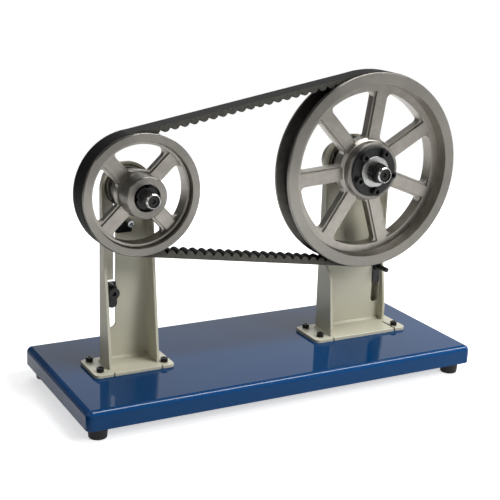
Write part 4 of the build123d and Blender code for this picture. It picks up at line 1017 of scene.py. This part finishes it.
@dataclass(frozen=True)
class Studio:
    """Camera, world, floor, lamps and cards.

    Args:
        lens_mm: Focal length.
        sensor_mm: Width of the sensor.
        target: Point that the camera looks at, in metres.
        distance: Distance of the camera from it.
        azimuth: Turn round the object in degrees, 0 from the front.
        elevation: Height angle in degrees.
        roll: Tilt of the picture in degrees.
        clip: Nearest and furthest distance that the camera shows.
        ambient: Strength of the light all round.
        floor_radius: Radius of the floor.
        floor_segments: Sides of the floor's circle.
        floor_colour: Colour of its paper, sRGB hex.
        floor_roughness: Roughness of its paper.
        floor_fade: Share of the radius from which it fades into the white behind it.
        floor_lift: How much whiter it shows than it is lit.
    """

    lens_mm: float = 81.06
    sensor_mm: float = 36.0
    target: Point = (-0.0111, 0.0, 0.1587)
    distance: float = 1.3306
    azimuth: float = -28.5
    elevation: float = 16.06
    roll: float = 1.98
    clip: tuple[float, float] = (0.05, 50.0)
    ambient: float = 0.16
    floor_radius: float = 1.6
    floor_segments: int = 96
    floor_colour: str = "F6F6F6"
    floor_roughness: float = 0.9
    floor_fade: float = 0.45
    floor_lift: float = 0.6

    def build(self) -> None:
        """Makes all of it."""
        self.build_camera()
        self.build_world()
        self.build_floor()
        for thing in (*LAMPS, *CARDS):
            thing.build()

    def build_camera(self) -> None:
        """Makes the camera at the photograph's angle."""
        turn, rise, roll = radians(self.azimuth), radians(self.elevation), radians(self.roll)
        back = Vector((sin(turn) * cos(rise), -cos(turn) * cos(rise), sin(rise)))
        right = (-back).cross(Vector((0, 0, 1))).normalized()
        up = right.cross(-back)
        rolled_right = right * cos(roll) + up * sin(roll)
        rolled_up = up * cos(roll) - right * sin(roll)
        data = bpy.data.cameras.new("camera")
        data.lens = self.lens_mm
        data.sensor_width = self.sensor_mm
        data.clip_start, data.clip_end = self.clip
        camera = bpy.data.objects.new("camera", data)
        bpy.context.scene.collection.objects.link(camera)
        place = Matrix.Translation(Vector(self.target) + back * self.distance)
        camera.matrix_world = place @ Matrix(
            (rolled_right, rolled_up, back)).transposed().to_4x4()
        bpy.context.scene.camera = camera

    def build_world(self) -> None:
        """Makes a weak light all round, white where it is seen or mirrored."""
        world = bpy.data.worlds.new("studio")
        bpy.context.scene.world = world
        world.use_nodes = True
        tree = world.node_tree
        tree.nodes.clear()
        ambient = add_node(tree, "ShaderNodeBackground", {
            "Color": (1, 1, 1, 1), "Strength": self.ambient})
        white = add_node(tree, "ShaderNodeBackground", {"Color": (1, 1, 1, 1), "Strength": 1.0})
        mixed = add_node(tree, "ShaderNodeMixShader", {
            0: on_view(tree), 1: ambient.outputs["Background"], 2: white.outputs["Background"]})
        add_node(tree, "ShaderNodeOutputWorld", {"Surface": mixed.outputs["Shader"]})

    def build_floor(self) -> None:
        """Makes a pale round floor that fades into the white behind it."""
        work = bmesh.new()
        bmesh.ops.create_circle(work, cap_ends=True, radius=self.floor_radius,
                                segments=self.floor_segments)
        floor = scene_object("floor", work)
        material = bpy.data.materials.new("seamless_paper")
        material.use_nodes = True
        tree = material.node_tree
        shader = tree.nodes["Principled BSDF"]
        shader.inputs["Base Color"].default_value = linear(self.floor_colour)
        shader.inputs["Roughness"].default_value = self.floor_roughness
        place = add_node(tree, "ShaderNodeTexCoord").outputs["Object"]
        distance = add_node(tree, "ShaderNodeVectorMath", {0: place}, operation="LENGTH")
        fade = add_node(tree, "ShaderNodeMapRange", {
            "Value": distance.outputs["Value"], "From Min": self.floor_fade * self.floor_radius,
            "From Max": self.floor_radius}, interpolation_type="SMOOTHSTEP")
        lift = add_node(tree, "ShaderNodeMath", {
            0: on_view(tree), 1: self.floor_lift}, operation="MULTIPLY")
        glow = add_node(tree, "ShaderNodeEmission", {
            "Color": (1, 1, 1, 1), "Strength": lift.outputs["Value"]})
        lit = add_node(tree, "ShaderNodeAddShader", {
            0: shader.outputs["BSDF"], 1: glow.outputs["Emission"]})
        clear = add_node(tree, "ShaderNodeBsdfTransparent")
        mixed = add_node(tree, "ShaderNodeMixShader", {
            0: fade.outputs["Result"], 1: lit.outputs["Shader"], 2: clear.outputs["BSDF"]})
        tree.links.new(mixed.outputs["Shader"], tree.nodes["Material Output"].inputs["Surface"])
        floor.data.materials.append(material)


# The model's sub-assemblies, in the order in which they are built
MODEL: tuple[Assembly, ...] = (
    Base(),
    Column(Side.LEFT, (
        # The black lock plate fills a dark patch beside the height screw: a black piece put as
        # painted shade.
        Eased("left_lock_plate", Body.STAND, BLACK, Slot.BLACK_STEEL, width_mm=0.3),
        Eased("left_height_screw", Body.STAND, ZINC, Slot.ZINC_STEEL))),
    Column(Side.RIGHT, (
        Eased("right_slot_cover", Body.STAND, POWDER, Slot.COLUMN_PAINT, width_mm=0.4,
              segments=3),)),
    Bearings(Side.LEFT, Body.SMALL, LEFT_STEEL),
    Bearings(Side.RIGHT, Body.LARGE, RIGHT_STEEL),
    Pulley(
        "small_pulley", Body.SMALL, LEFT_AXIS, LEFT_FACE, LEFT_STEEL,
        Eased("small_pulley_washer", Body.SMALL, BLACK, Slot.BLACK_STEEL, width_mm=0.3),
        rim_mm=68.0, land_mm=59.3, hub_mm=23.3),
    BushedPulley(
        "large_pulley", Body.LARGE, RIGHT_AXIS, RIGHT_FACE, RIGHT_STEEL,
        Eased("large_pulley_washer", Body.LARGE, DULL_ZINC, Slot.TURNED_STEEL, width_mm=0.3),
        rim_mm=118.0, land_mm=105.0, hub_mm=34.8),
    Clamp(
        Side.LEFT, Body.LEFT_CLAMP, Bolt.SCREW,
        Eased("left_clamp_nut", Body.LEFT_CLAMP, ZINC, Slot.ZINC_STEEL)),
    Clamp(
        Side.RIGHT, Body.RIGHT_CLAMP, Bolt.STUD,
        Eased("right_clamp_nut", Body.RIGHT_CLAMP, BLACK, Slot.BLACK_STEEL, width_mm=0.3)),
    Belt())


def main() -> None:
    """Builds the scene."""
    logging.basicConfig(level=logging.INFO, format="%(name)s %(message)s")
    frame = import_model()
    bpy.context.scene.view_settings.view_transform = "Standard"
    for assembly in MODEL:
        assembly.build(frame)
    Studio().build()


if __name__ == "__main__":
    main()
